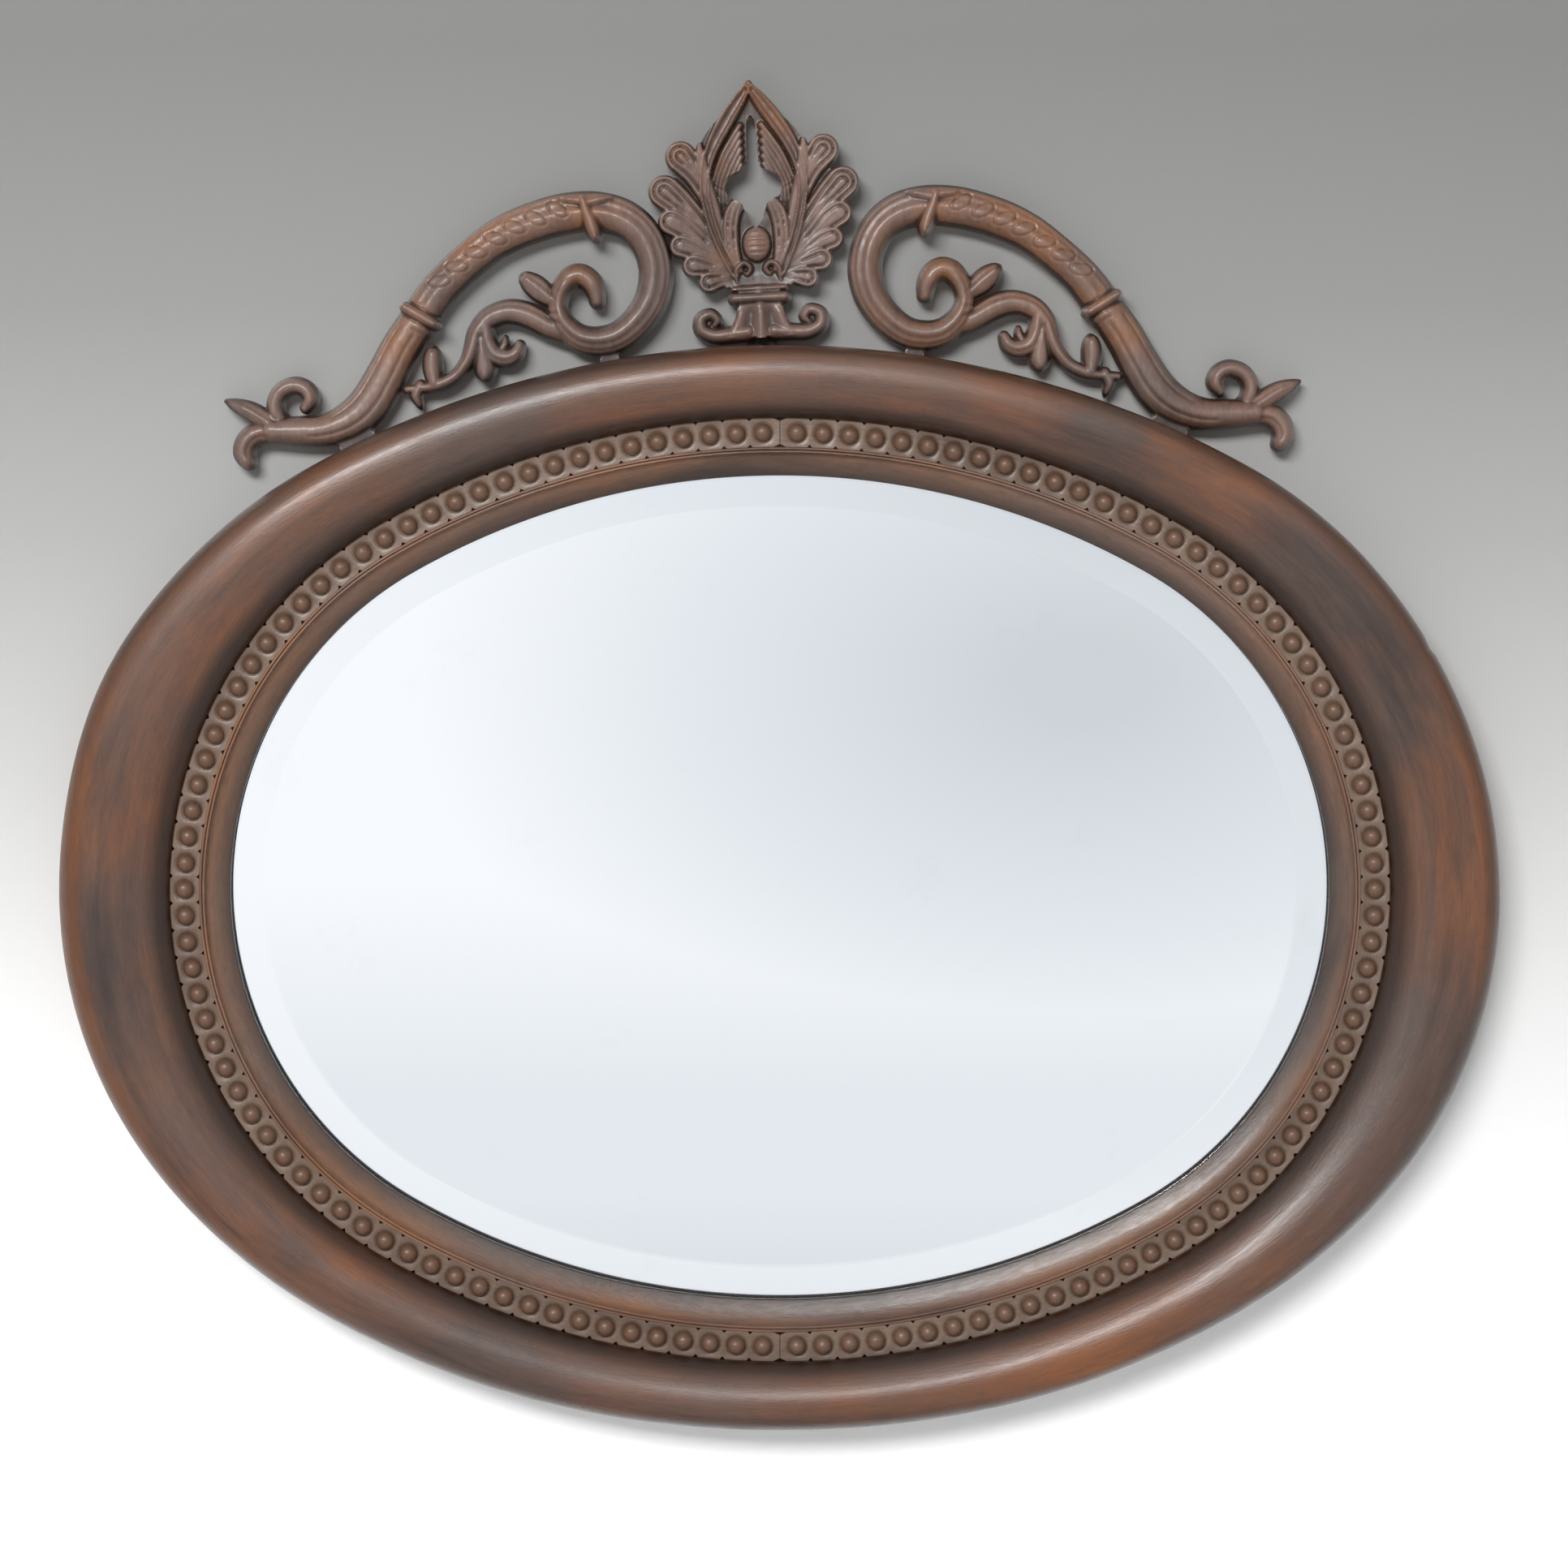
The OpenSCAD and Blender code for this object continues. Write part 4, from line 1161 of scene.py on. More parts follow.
@dataclass
class MirrorGlass:
    """Bevelled glass with its silvered back."""

    points: int = 360
    low: float = 6.6
    edge: float = 2.1
    face: float = 11.5
    lap: float = 7.5
    bevel: float = 25.4

    def place(self) -> None:
        """Extrudes the glass from a disc laid on the oval, dresses it and fits it."""
        Shop.clear()
        bpy.ops.mesh.primitive_circle_add(vertices=self.points, radius=0.3, fill_type="NGON")
        glass = Shop.named("bevelled_glass")
        outline = SIGHT.grown(self.lap)
        length = -np.arange(self.points) / self.points * 2 * outline.half_length
        points = Shop.points(glass)
        order = np.argsort(np.mod(np.arctan2(points[:, 1], points[:, 0]), 2 * math.pi))
        points[order] = stand(outline.point(outline.turn_at(length)), self.low)
        Shop.move(glass, points)
        ring = np.ones(self.points, bool)
        for offset, height in ((self.lap, self.low + self.edge), (self.lap - self.bevel, self.face)):
            Shop.select(glass, ring)
            Shop.extrude((0, 0, 0.001))
            ring = Shop.selected(glass)
            points = Shop.points(glass)
            points[ring] = self.ring(offset, height, points[ring])
            Shop.move(glass, points)
        Shop.close(glass, 2)
        Shop.dress(glass, GlassFinish().material(), SilverFinish().material())
        back = np.array([polygon.normal.y > 0.99 for polygon in glass.data.polygons], np.int32)
        glass.data.polygons.foreach_set("material_index", back)
        Shop.fit(glass, "mirror_silver", "mirror_glass")

    def ring(self, offset: float, height: float, below: np.ndarray) -> np.ndarray:
        """Places a ring over the one below it, which it was extruded from.

        Args:
            offset: Offset of the new ring from the sight edge.
            height: Height of the new ring.
            below: Points of the new ring as extruded, in metres.

        Returns:
            The new ring's points in metres.
        """
        turns = np.linspace(-math.pi, math.pi, 14401)
        outline = SIGHT.grown(self.lap).point(turns)
        near = np.array([np.argmin(np.hypot(*(outline - p).T)) for p in below[:, [0, 2]] / MM])
        return stand(SIGHT.grown(offset).point(turns[near]), height)


class Cut(Enum):
    """Cross-section that a carver leaves on a stem."""

    ROUND = "domed"
    CHANNEL = "domed, with a shallow channel and a fillet on its outer side"
    SPOON = "a hollow with a raised rim"
    FOLDED = "two slopes that meet in a soft ridge"


def turned(x: np.ndarray, y: np.ndarray, degrees: float) -> tuple[np.ndarray, np.ndarray]:
    """Coordinates turned anticlockwise about the origin."""
    c, s = math.cos(math.radians(degrees)), math.sin(math.radians(degrees))
    return x * c - y * s, x * s + y * c


class Relief:
    """Carved work as heights over a fine grid, in millimetres, built up stroke by stroke.

    The edge array holds each point's distance within the outline, and the fringe the height just outside it.
    """

    outside = -99.0
    margin = 2.5
    fringe_wide = 2.0
    thinnest = 1.0
    softness = 0.9
    mark_wide, mark_deep = 1.6, 0.16
    shaded_below = 9.4
    orange = 0.62

    def __init__(self, low: tuple[float, float], high: tuple[float, float], pitch: float) -> None:
        """Lays out an empty grid.

        Args:
            low: Lowest x and y.
            high: Highest x and y.
            pitch: Distance between the grid's lines.
        """
        self.pitch = pitch
        self.low = np.array(low)
        self.nx = int(round((high[0] - low[0]) / pitch)) + 1
        self.ny = int(round((high[1] - low[1]) / pitch)) + 1
        self.x, self.y = np.meshgrid(low[0] + np.arange(self.nx) * pitch, low[1] + np.arange(self.ny) * pitch)
        self.height = np.full(self.x.shape, -1.0)
        self.fringe = np.zeros(self.x.shape)
        self.edge = np.full(self.x.shape, self.outside)
        self.patch = np.zeros(self.x.shape)
        self.shading_and_stain = np.zeros(self.x.shape)

    def trace(self, route: Route) -> Traced:
        """Finds the place on a route that each grid point belongs to.

        Args:
            route: Points of the route with a width each.

        Returns:
            Arrays over the grid: inside (distance within the outline), across (-1 to 1), along and width.
        """
        path = smooth_route(route, 0.45)
        half = path[:, 2] / 2
        steps = np.gradient(path[:, :2], axis=0)
        tangent = steps / np.linalg.norm(steps, axis=1)[:, None]
        length = np.concatenate([[0], np.cumsum(np.linalg.norm(np.diff(path[:, :2], axis=0), axis=1))])
        found = {key: np.zeros(self.x.shape) for key in ("across", "along", "width")}
        found["inside"] = np.full(self.x.shape, self.outside)
        block = 24
        for i in range(0, len(path), block):
            part = slice(i, min(i + block + 1, len(path)))
            reach = half[part].max() + self.margin
            first = np.floor((path[part, :2].min(axis=0) - reach - self.low) / self.pitch).astype(int)
            last = np.ceil((path[part, :2].max(axis=0) + reach - self.low) / self.pitch).astype(int) + 1
            first, last = np.maximum(first, 0), np.maximum(last, 0)
            here = (slice(first[1], last[1]), slice(first[0], last[0]))
            if self.x[here].size == 0:
                continue
            dx = self.x[here][..., None] - path[part, 0]
            dy = self.y[here][..., None] - path[part, 1]
            forward = dx * tangent[part, 0] + dy * tangent[part, 1]
            sideways = tangent[part, 0] * dy - tangent[part, 1] * dx
            distance = np.hypot(sideways, np.maximum(np.abs(forward) - 0.3, 0))
            inside = half[part] - distance
            best = np.argmax(inside, axis=-1)[..., None]
            value = np.take_along_axis(inside, best, -1)[..., 0]
            wins = value > found["inside"][here]
            index = best[..., 0] + part.start
            rest = {
                "inside": value,
                "across": np.take_along_axis(distance * np.sign(sideways), best, -1)[..., 0] / half[index],
                "along": length[index],
                "width": path[index, 2],
            }
            for key, array in rest.items():
                found[key][here] = np.where(wins, array, found[key][here])
        return found

    @staticmethod
    def profile(cut: Cut, across: np.ndarray) -> np.ndarray:
        """Height of a section as a share of its top.

        Args:
            cut: Kind of section.
            across: Place across it, -1 to 1.

        Returns:
            Shares of the full height.
        """
        a = np.clip(np.abs(across), 0, 1)
        dome = np.sqrt(1 - (0.965 * a) ** 2)
        if cut is Cut.ROUND:
            return dome
        if cut is Cut.CHANNEL:
            fillet = 0.07 * bell(across, 0.8, 0.08) - 0.05 * bell(across, 0.62, 0.07)
            return dome - 0.1 * bell(across, 0.26, 0.24) + fillet
        if cut is Cut.SPOON:
            return (0.76 + 0.24 * bell(a, 0.68, 0.22)) * np.sqrt(np.clip(1 - (0.95 * a) ** 6, 0, 1))
        return (1 - 0.28 * a) * np.sqrt(np.clip(1 - (0.93 * a) ** 6, 0, 1))

    def lay(self, inside: np.ndarray, height: np.ndarray | float, fringe: np.ndarray | float | None = None) -> None:
        """Raises an area to a height, where it isn't higher already.

        Args:
            inside: Distance within the area's outline, negative outside.
            height: Its height.
            fringe: Height just outside its outline, if that isn't the same.
        """
        on = inside > 0
        fringe = height if fringe is None else fringe
        self.height = np.where(on, np.maximum(self.height, height), self.height)
        self.fringe = np.where((inside > self.edge) & ~on, fringe, self.fringe)
        self.edge = np.maximum(self.edge, inside)

    def stroke(self, route: Route, cut: Cut, top: float, slope: float = 1.1, sink: float = 0.0) -> Traced:
        """Adds a stem to the work.

        Args:
            route: Points of the stem with a width each.
            cut: Its section.
            top: Its greatest height.
            slope: Most height for each millimetre of width, which lets the tips fall away.
            sink: Amount by which the start of the stem lies lower.

        Returns:
            What trace found.
        """
        found = self.trace(route)
        crown = np.minimum(top, found["width"] * slope + 2.0) - sink * bell(found["along"], 0, 8)
        self.lay(found["inside"], crown * self.profile(cut, found["across"]), crown * self.profile(cut, np.ones(1)))
        return found

    def shell(self, route: Route, top: float, pitch: float, depth: float, curl: float) -> None:
        """Adds a lobe of nested ribs that wrap round its tip.

        Args:
            route: Points of the lobe with a width each.
            top: Height of its ribs.
            pitch: Width of one rib.
            depth: Depth of the valleys between the ribs.
            curl: Rise of the tip over the root.
        """
        found = self.trace(route)
        within = np.clip(found["inside"], 0, None)
        u = 2 * np.mod(within / pitch, 1.0) - 1
        u = np.where(within > found["width"] / 2 - 0.5 * pitch, 0.0, u)
        rib = np.sqrt(np.clip(1 - 0.94 * u**2, 0, 1))
        first = np.where(within < 0.5 * pitch, 1.6, 1.0)
        share = np.clip(found["along"] / max(found["along"].max(), 1.0), 0, 1)
        height = top + curl * share**3 - 2.0 * (1 - share) ** 1.5 - depth * first * (1 - rib)
        self.lay(found["inside"], height, top - depth)

    def pierce(self, inside: np.ndarray) -> None:
        """Cuts an area right through."""
        self.edge = np.minimum(self.edge, -inside)

    def lower(self, depth: np.ndarray, within: np.ndarray | bool = True) -> None:
        """Cuts the work down, or with a negative depth raises it, where there is any."""
        self.height = np.where(within & (self.height > 0), self.height - depth, self.height)

    def line(self, found: Traced, at: float, wide: float, depth: float, start: float, end: float) -> None:
        """Runs a fine line lengthwise over a stem, sunk or, with a negative depth, raised.

        Args:
            found: What trace found for the stem.
            at: Place across the stem, -1 to 1.
            wide: Half the line's width as a share of the stem's half width.
            depth: Depth in millimetres.
            start: Length along the stem at which it starts.
            end: Length along the stem at which it ends.
        """
        ends = np.clip(np.minimum(found["along"] - start, end - found["along"]) / 4 + 1, 0, 1)
        self.lower(depth * ends * bell(found["across"], at, wide), found["inside"] > 0.3)

    def groove(self, route: Route, depth: float) -> None:
        """Runs a gouge along a route, as wide as the route says.

        Args:
            route: Points of the gouge with a width each.
            depth: Its depth in the middle.
        """
        found = self.trace(route)
        a = np.clip(np.abs(found["across"]), 0, 1)
        self.lower(np.where(found["inside"] > 0, depth * (1 - a**2) ** 1.5, 0))

    def oval_mark(self, x: float, y: float, long: float, short: float, degrees: float, depth: float) -> None:
        """Incises an oval with a small boss in it.

        Args:
            x: Middle of the oval.
            y: Middle of the oval.
            long: Half its length.
            short: Half its width.
            degrees: Direction of its length.
            depth: Depth of the line.
        """
        along, across = turned(self.x - x, self.y - y, -degrees)
        r = np.hypot(along / long, across / short)
        self.lower(depth * (bell(r, 0.9, 0.08) - 0.45 * bell(r, 1.06, 0.08)))
        self.lower(-0.8 * depth * np.clip(1 - r**2, 0, 1) ** 0.7)

    def warm(self, places: Sequence[tuple[float, float, float]], amount: float = 1.0) -> None:
        """Marks places, each x, y and reach, with orange painted highlight."""
        for x, y, reach in places:
            self.patch += self.orange * amount * bell(np.hypot(self.x - x, self.y - y), 0, reach)

    @staticmethod
    def blur(values: np.ndarray, sigma: float) -> np.ndarray:
        """Gaussian blur over the grid.

        Args:
            values: Array over the grid.
            sigma: Spread in steps of the grid.

        Returns:
            The blurred array.
        """
        reach = int(3 * sigma) + 1
        kernel = np.exp(-0.5 * (np.arange(-reach, reach + 1) / sigma) ** 2)
        kernel /= kernel.sum()
        rows = np.apply_along_axis(np.convolve, 0, values, kernel, "same")
        return np.apply_along_axis(np.convolve, 1, rows, kernel, "same")

    def settle(self, seed: int) -> None:
        """Rounds the work a little, adds tool marks and finds its hollows, darkened as wax and as painted shade.

        Args:
            seed: Seed of the tool marks.
        """
        solid = self.edge > 0
        height = np.where(self.height > 0, self.height, self.fringe)
        known = (self.edge > -self.fringe_wide).astype(float)
        size = self.mark_wide / self.pitch
        marks = self.blur(np.random.default_rng(seed).normal(size=height.shape), size) * size
        soft = self.blur(height * known, self.softness) / np.maximum(self.blur(known, self.softness), 1e-3)
        self.surface = soft + np.where(solid, self.mark_deep * marks, 0)
        weight = solid.astype(float)
        # Painted shade: the seats and all ground below shaded_below are darkened as if in shadow.
        self.cavity = self.shading_and_stain + np.clip((self.shaded_below - self.surface) / 3, 0, 0.6)
        # Hollows darken, partly as wax and partly as painted shade; ridges turn pale as rubbed wood.
        for reach, scale in ((1.3, 0.55), (3.2, 1.6)):
            wide = reach / self.pitch
            around = self.blur(self.surface * weight, wide) / np.maximum(self.blur(weight, wide), 1e-3)
            self.cavity += 0.6 * (around - self.surface) / scale
        self.cavity = np.clip(self.cavity, -1, 1.2)

    def sample(self, values: np.ndarray, flat: np.ndarray) -> np.ndarray:
        """Reads an array of the grid at any places.

        Args:
            values: Array over the grid.
            flat: Rows of x and y.

        Returns:
            One value for each row.
        """
        at = (flat - self.low) / self.pitch
        i = np.clip(np.floor(at).astype(int), 0, [self.nx - 2, self.ny - 2])
        f = np.clip(at - i, 0, 1)
        x0, y0 = i[:, 0], i[:, 1]
        lower = values[y0, x0] * (1 - f[:, 0]) + values[y0, x0 + 1] * f[:, 0]
        upper = values[y0 + 1, x0] * (1 - f[:, 0]) + values[y0 + 1, x0 + 1] * f[:, 0]
        return lower * (1 - f[:, 1]) + upper * f[:, 1]

    def mesh(self, name: str, place: Callable[[np.ndarray, np.ndarray], np.ndarray]) -> bpy.types.Object:
        """Makes the carving: a grid is trimmed to the outline, extruded and raised to the heights.

        Args:
            name: Name of the piece.
            place: Puts rows of x and y, with heights, in the shared frame.

        Returns:
            The finished carving.
        """
        Shop.clear()
        bpy.ops.mesh.primitive_grid_add(x_subdivisions=self.nx - 1, y_subdivisions=self.ny - 1, size=1)
        work = Shop.named(name)
        start = Shop.points(work)
        order = np.lexsort((np.round(start[:, 0], 7), np.round(start[:, 1], 7)))
        points = np.zeros_like(start)
        points[order, :2] = np.stack([self.x.ravel(), self.y.ravel()], axis=-1) * MM
        Shop.move(work, points)
        Shop.select(work, self.sample(self.edge, points[:, :2] / MM) <= -0.5 * self.pitch)
        bpy.ops.mesh.delete(type="VERT")
        bpy.ops.mesh.select_all(action="DESELECT")
        bpy.ops.mesh.select_loose()
        bpy.ops.mesh.delete(type="VERT")
        bpy.ops.object.mode_set(mode="OBJECT")
        self.trim(work)
        Shop.open_edges(work)
        Shop.extrude((0, 0, -0.001))
        bpy.ops.mesh.fill(use_beauty=False)
        front = ~Shop.selected(work)
        flat = Shop.points(work)[:, :2] / MM
        height = np.where(front, np.maximum(self.sample(self.surface, flat), self.thinnest), 0.0)
        Shop.paint(work, "cavity", np.where(front, self.sample(self.cavity, flat), 0.0))
        # Orange painted highlight on the carving's lit places.
        Shop.paint(work, "patch", self.sample(self.patch, flat))
        Shop.move(work, place(flat, height))
        Shop.close(work, 50)
        return work

    def trim(self, work: bpy.types.Object) -> None:
        """Slides the grid's border onto the outline.

        Args:
            work: Grid that has been cut roughly to the outline.
        """
        mesh = work.data
        loops = np.zeros(len(mesh.loops), np.int32)
        mesh.loops.foreach_get("edge_index", loops)
        uses = np.bincount(loops, minlength=len(mesh.edges))
        ends = np.zeros(len(mesh.edges) * 2, np.int32)
        mesh.edges.foreach_get("vertices", ends)
        border = np.unique(ends.reshape(-1, 2)[uses == 1])
        points = Shop.points(work)
        slope_y, slope_x = np.gradient(self.edge, self.pitch)
        for _ in range(3):
            flat = points[border, :2] / MM
            value = self.sample(self.edge, flat)
            slope = np.stack([self.sample(slope_x, flat), self.sample(slope_y, flat)], axis=-1)
            size = np.maximum((slope**2).sum(axis=1), 0.25)
            move = -(value / size)[:, None] * slope
            far = np.linalg.norm(move, axis=1)[:, None]
            points[border, :2] += move * np.minimum(1, 0.7 * self.pitch / np.maximum(far, 1e-6)) * MM
        Shop.move(work, points)


@dataclass
class Crest:
    """The crest's frame of reference: it is turned as fitted, and its parts lean.

    It is drawn lift above the rim's top, whose arc has the radius edge_r. It turns about that arc's centre, and
    leans about the point gap above its foot.
    """

    edge_r: float = 579.5
    lift: float = 2.0
    turn: float = 1.05
    lean: float = 2.0
    gap: float = 5.0

    def on_edge(self, flat: np.ndarray, height: np.ndarray, side: int = 1, lean: float = 0.0) -> np.ndarray:
        """Puts work drawn over the top edge in the shared frame.

        Args:
            flat: Rows of x and y from the middle of the frame's top edge.
            height: Heights above the crest's flat back.
            side: -1 to mirror it to the left.
            lean: Degrees of lean to the left.

        Returns:
            Points in metres.
        """
        x, y = turned(flat[:, 0] * side, flat[:, 1] - self.gap, lean)
        x, y = turned(x, self.gap + y + self.lift + self.edge_r, self.turn)
        return stand(np.stack([x, y - (self.edge_r - RIM.half_h)], axis=-1), height)

    def fit(self, relief: Relief, piece: str, node: str, side: int = 1, lean: float = 0.0) -> None:
        """Meshes, dresses and fits a carving.

        Args:
            relief: The carving.
            piece: Name of the piece.
            node: CAD node that it stands for.
            side: -1 to mirror it to the left.
            lean: Degrees of lean to the left.
        """
        carving = relief.mesh(piece, lambda flat, height: self.on_edge(flat, height, side, lean))
        Shop.dress(carving, CARVED_WOOD.material())
        Shop.fit(carving, "walnut_carved", node)


@dataclass
class Scroll(Crest):
    """An open C-scroll with its arch, tendril, collar and tail.

    A route gives x, y and width for each point. The seats give the place along the rim, the width and the rise of
    the feet, the ovals their middle and direction, and the warm places their middle and reach.
    """

    pitch: float = 0.62
    stem_h: float = 16.3
    tendril_h: float = 12.2
    seat_h: float = 9.0
    deep: float = 1.2
    oval_long: float = 7.9
    oval_short: float = 4.2
    oval_turn: float = 9.0
    oval_deep: float = 1.5
    seats: tuple[tuple[float, float, float], ...] = ((90.0, 11.0, 9.0), (246.5, 22.0, 12.0))
    main_stem: Route = (
        (97, 29, 10), (98, 35, 12), (101, 40.5, 14), (107, 44, 14.5), (113.5, 42, 14), (118.5, 35, 12.5),
        (120.5, 27, 12), (119, 19.5, 13), (114.5, 12.5, 15), (106.5, 6.5, 17), (96, 4.8, 18.2),
        (84.5, 7.6, 18.8), (73.5, 16.3, 19.5), (65.5, 28, 20.2), (62, 41.5, 20.8), (62.8, 53.2, 20.8),
        (67, 64.3, 21.3), (73.8, 72.8, 22), (82.8, 78.4, 23), (93.5, 81.3, 23.7), (104, 82, 24),
        (117, 80.5, 24.5), (131, 77, 24), (146, 71.5, 23.5), (160, 64, 22.5), (174, 53, 22),
        (187, 41, 22), (196, 30, 22.5), (204, 17, 23),
    )
    curl: Route = (
        (97, 29, 10), (98, 35, 12), (101, 40.5, 13.5), (107, 44, 14), (113.5, 42, 13), (118.5, 35, 10.5),
        (120, 27, 8), (118.5, 19.5, 6), (114, 12, 4),
    )
    tail: Route = (
        (200, 24, 22), (213, 5, 23), (222.5, -12.5, 24), (231, -27, 25), (239.5, -36, 24.5), (250, -42, 22),
        (262, -45, 19.5), (276, -45, 18), (290, -44.5, 15.5),
    )
    tail_spiral: Route = (
        (279.5, -43.5, 12), (286.5, -37, 11), (288.5, -28.5, 11), (284.5, -21, 11), (276.5, -18, 11),
        (270, -20.5, 10.5), (267.5, -26, 10), (270.5, -31, 7.5),
    )
    tail_leaf: Route = ((284.5, -45, 12), (294, -38.5, 12.5), (303.5, -32.5, 11.5), (311.5, -29, 8), (317.5, -26.5, 3))
    tail_lobe: Route = ((288, -46, 13), (298, -45.5, 14.5), (305, -50, 14.5), (307.5, -57, 13.5), (305, -63, 9.5))
    tendril: Route = (
        (110, 7.5, 13), (125.5, 14.5, 15.5), (135.5, 20, 16), (145, 23.2, 15.5), (153.5, 23, 14.5),
        (162, 19, 14), (168, 11.5, 13), (171.5, 2, 11), (175, -6, 9.5), (181.5, -14, 9), (190, -18.5, 9),
        (198.5, -20.5, 7.5), (210, -21.5, 6),
    )
    under_curl: Route = (
        (163.5, 15.5, 9.5), (162.5, 6, 11.5), (158.5, -1.5, 12.5), (151.5, -4, 12), (146, -2, 10), (143.5, 3, 7.5),
    )
    under_hook: Route = ((156, -1, 7), (152.5, 3.5, 6.5), (152, 7.5, 4.5))
    under_lobe: Route = ((166, 6, 11), (165, -3, 13.5), (164, -9.5, 14), (164, -14, 8.5))
    fork_up: Route = ((194, -17.5, 9.5), (195, -9.5, 12.5), (195, -3, 11.5), (194.5, 1.5, 5.5))
    fork_down: Route = ((202.5, -20, 8.5), (205, -25, 7.5), (203.5, -30, 5), (202.5, -33, 1.5))
    bud: Route = ((121, 27, 7), (126, 32, 11.5), (132, 37, 14.5), (137.3, 41.3, 11), (141.5, 45, 2.5))
    drop_leaf: Route = ((104, 88, 7), (102.5, 82.5, 9.5), (99.8, 75.5, 10.8), (97.8, 69.5, 9.5), (97, 66, 6))
    top_leaf: Route = ((87, 89, 3), (94, 88, 8), (101.5, 86.5, 12), (109, 88, 8), (117, 88.5, 3))
    collar: Route = ((193, 16.5, 7), (196, 18.3, 9), (201.5, 21.6, 10), (207, 24.9, 9), (210, 26.7, 7))
    ovals: tuple[tuple[float, float, float], ...] = (
        (119, 82.5, 24), (132, 77.5, 18), (144.5, 72.5, 12), (155.5, 66, 5), (167.5, 58, -2), (178.6, 50, -8),
        (189, 41.5, -14),
    )
    warm_places: tuple[tuple[float, float, float], ...] = (
        (107, 42, 12), (99, 72, 9), (150, 79, 22), (175, 62, 14), (201, 22, 8), (216, 4, 13), (112, 88, 16),
    )

    def carve(self) -> Relief:
        """Carves the right-hand scroll.

        Returns:
            The relief, ready for a mesh.
        """
        work = Relief((46, -72), (324, 98), self.pitch)
        stem, vine = self.stem_h, self.tendril_h
        work.stroke(self.main_stem, Cut.CHANNEL, stem)
        work.stroke(self.curl, Cut.ROUND, stem)
        found = {"tail": work.stroke(self.tail, Cut.ROUND, stem - 0.4)}
        work.stroke(self.tail_spiral, Cut.ROUND, vine + 0.6, sink=3.0)
        found["leaf"] = work.stroke(self.tail_leaf, Cut.FOLDED, vine + 1.5)
        found["lobe"] = work.stroke(self.tail_lobe, Cut.ROUND, vine + 1.0)
        found["vine"] = work.stroke(self.tendril, Cut.ROUND, vine, sink=1.0)
        found["curl"] = work.stroke(self.under_curl, Cut.ROUND, vine)
        work.stroke(self.under_hook, Cut.ROUND, vine - 3)
        work.stroke(self.under_lobe, Cut.ROUND, vine - 0.5)
        work.stroke(self.fork_up, Cut.ROUND, vine)
        work.stroke(self.fork_down, Cut.FOLDED, vine - 2)
        found["bud"] = work.stroke(self.bud, Cut.FOLDED, vine + 0.5)
        arm = work.y + self.lift + self.edge_r
        over = np.hypot(work.x, arm) - self.edge_r
        along = np.arctan2(work.x, arm) * self.edge_r
        for centre, width, rise in self.seats:
            inside = np.minimum(width / 2 - np.abs(along - centre), rise - over)
            work.lay(inside, self.seat_h)
            # Painted shade: each seat under a foot is darkened as if in the foot's shadow.
            dark = np.clip(inside / 1.5, 0, 1) * np.clip(1 - over / rise, 0, 1)
            work.shading_and_stain = np.maximum(work.shading_and_stain, dark)
        work.stroke(self.drop_leaf, Cut.ROUND, stem + 2.3, slope=3.0)
        work.stroke(self.top_leaf, Cut.FOLDED, stem + 0.8, slope=4.0)
        work.stroke(self.collar, Cut.ROUND, stem + 2.6, slope=2.6)
        self.detail(work, found)
        work.edge = np.minimum(work.edge, over)
        work.warm(self.warm_places)
        work.settle(3)
        return work

    def detail(self, work: Relief, found: dict[str, Traced]) -> None:
        """Gouges the channels, veins and oval marks.

        Args:
            work: Relief to carve.
            found: What trace found for each stem that takes lines.
        """
        for x, y, degrees in self.ovals:
            work.oval_mark(x, y, self.oval_long, self.oval_short, degrees + self.oval_turn, self.oval_deep)
        deep = self.deep
        for stem, *line in (
            ("tail", -0.34, 0.09, deep, 16, 100), ("tail", 0.52, 0.08, deep, 16, 84),
            ("tail", 0.66, 0.08, -0.5, 16, 84), ("vine", 0.45, 0.14, 1.0, 14, 92), ("vine", 0.72, 0.1, -0.4, 14, 92),
            ("curl", 0.3, 0.16, 1.0, 6, 30), ("lobe", -0.35, 0.16, 1.0, 6, 28), ("leaf", 0.35, 0.1, 0.7, 4, 30),
            ("bud", 0.4, 0.1, 0.7, 4, 24),
        ):
            work.line(found[stem], *line)
        work.groove([(205, 13.5, 2.6), (196, 8.5, 2.6)], 0.9)
        for route in (
            [(209.5, 31, 2.2), (187.5, 18, 2.2)],
            [(213.5, 24, 2.4), (192, 11.5, 2.4)],
            [(167, 10, 1.8), (167.5, 2, 2.2), (168.5, -5, 2.2), (169, -11, 1.4)],
            [(121, 22, 1.6), (127, 22.5, 2.2), (134, 27, 2.2), (138, 33, 1.4)],
            [(276, -37, 1.6), (281.5, -33, 2), (282.5, -27, 1.8), (278, -24, 1.2)],
        ):
            work.groove(route, deep)


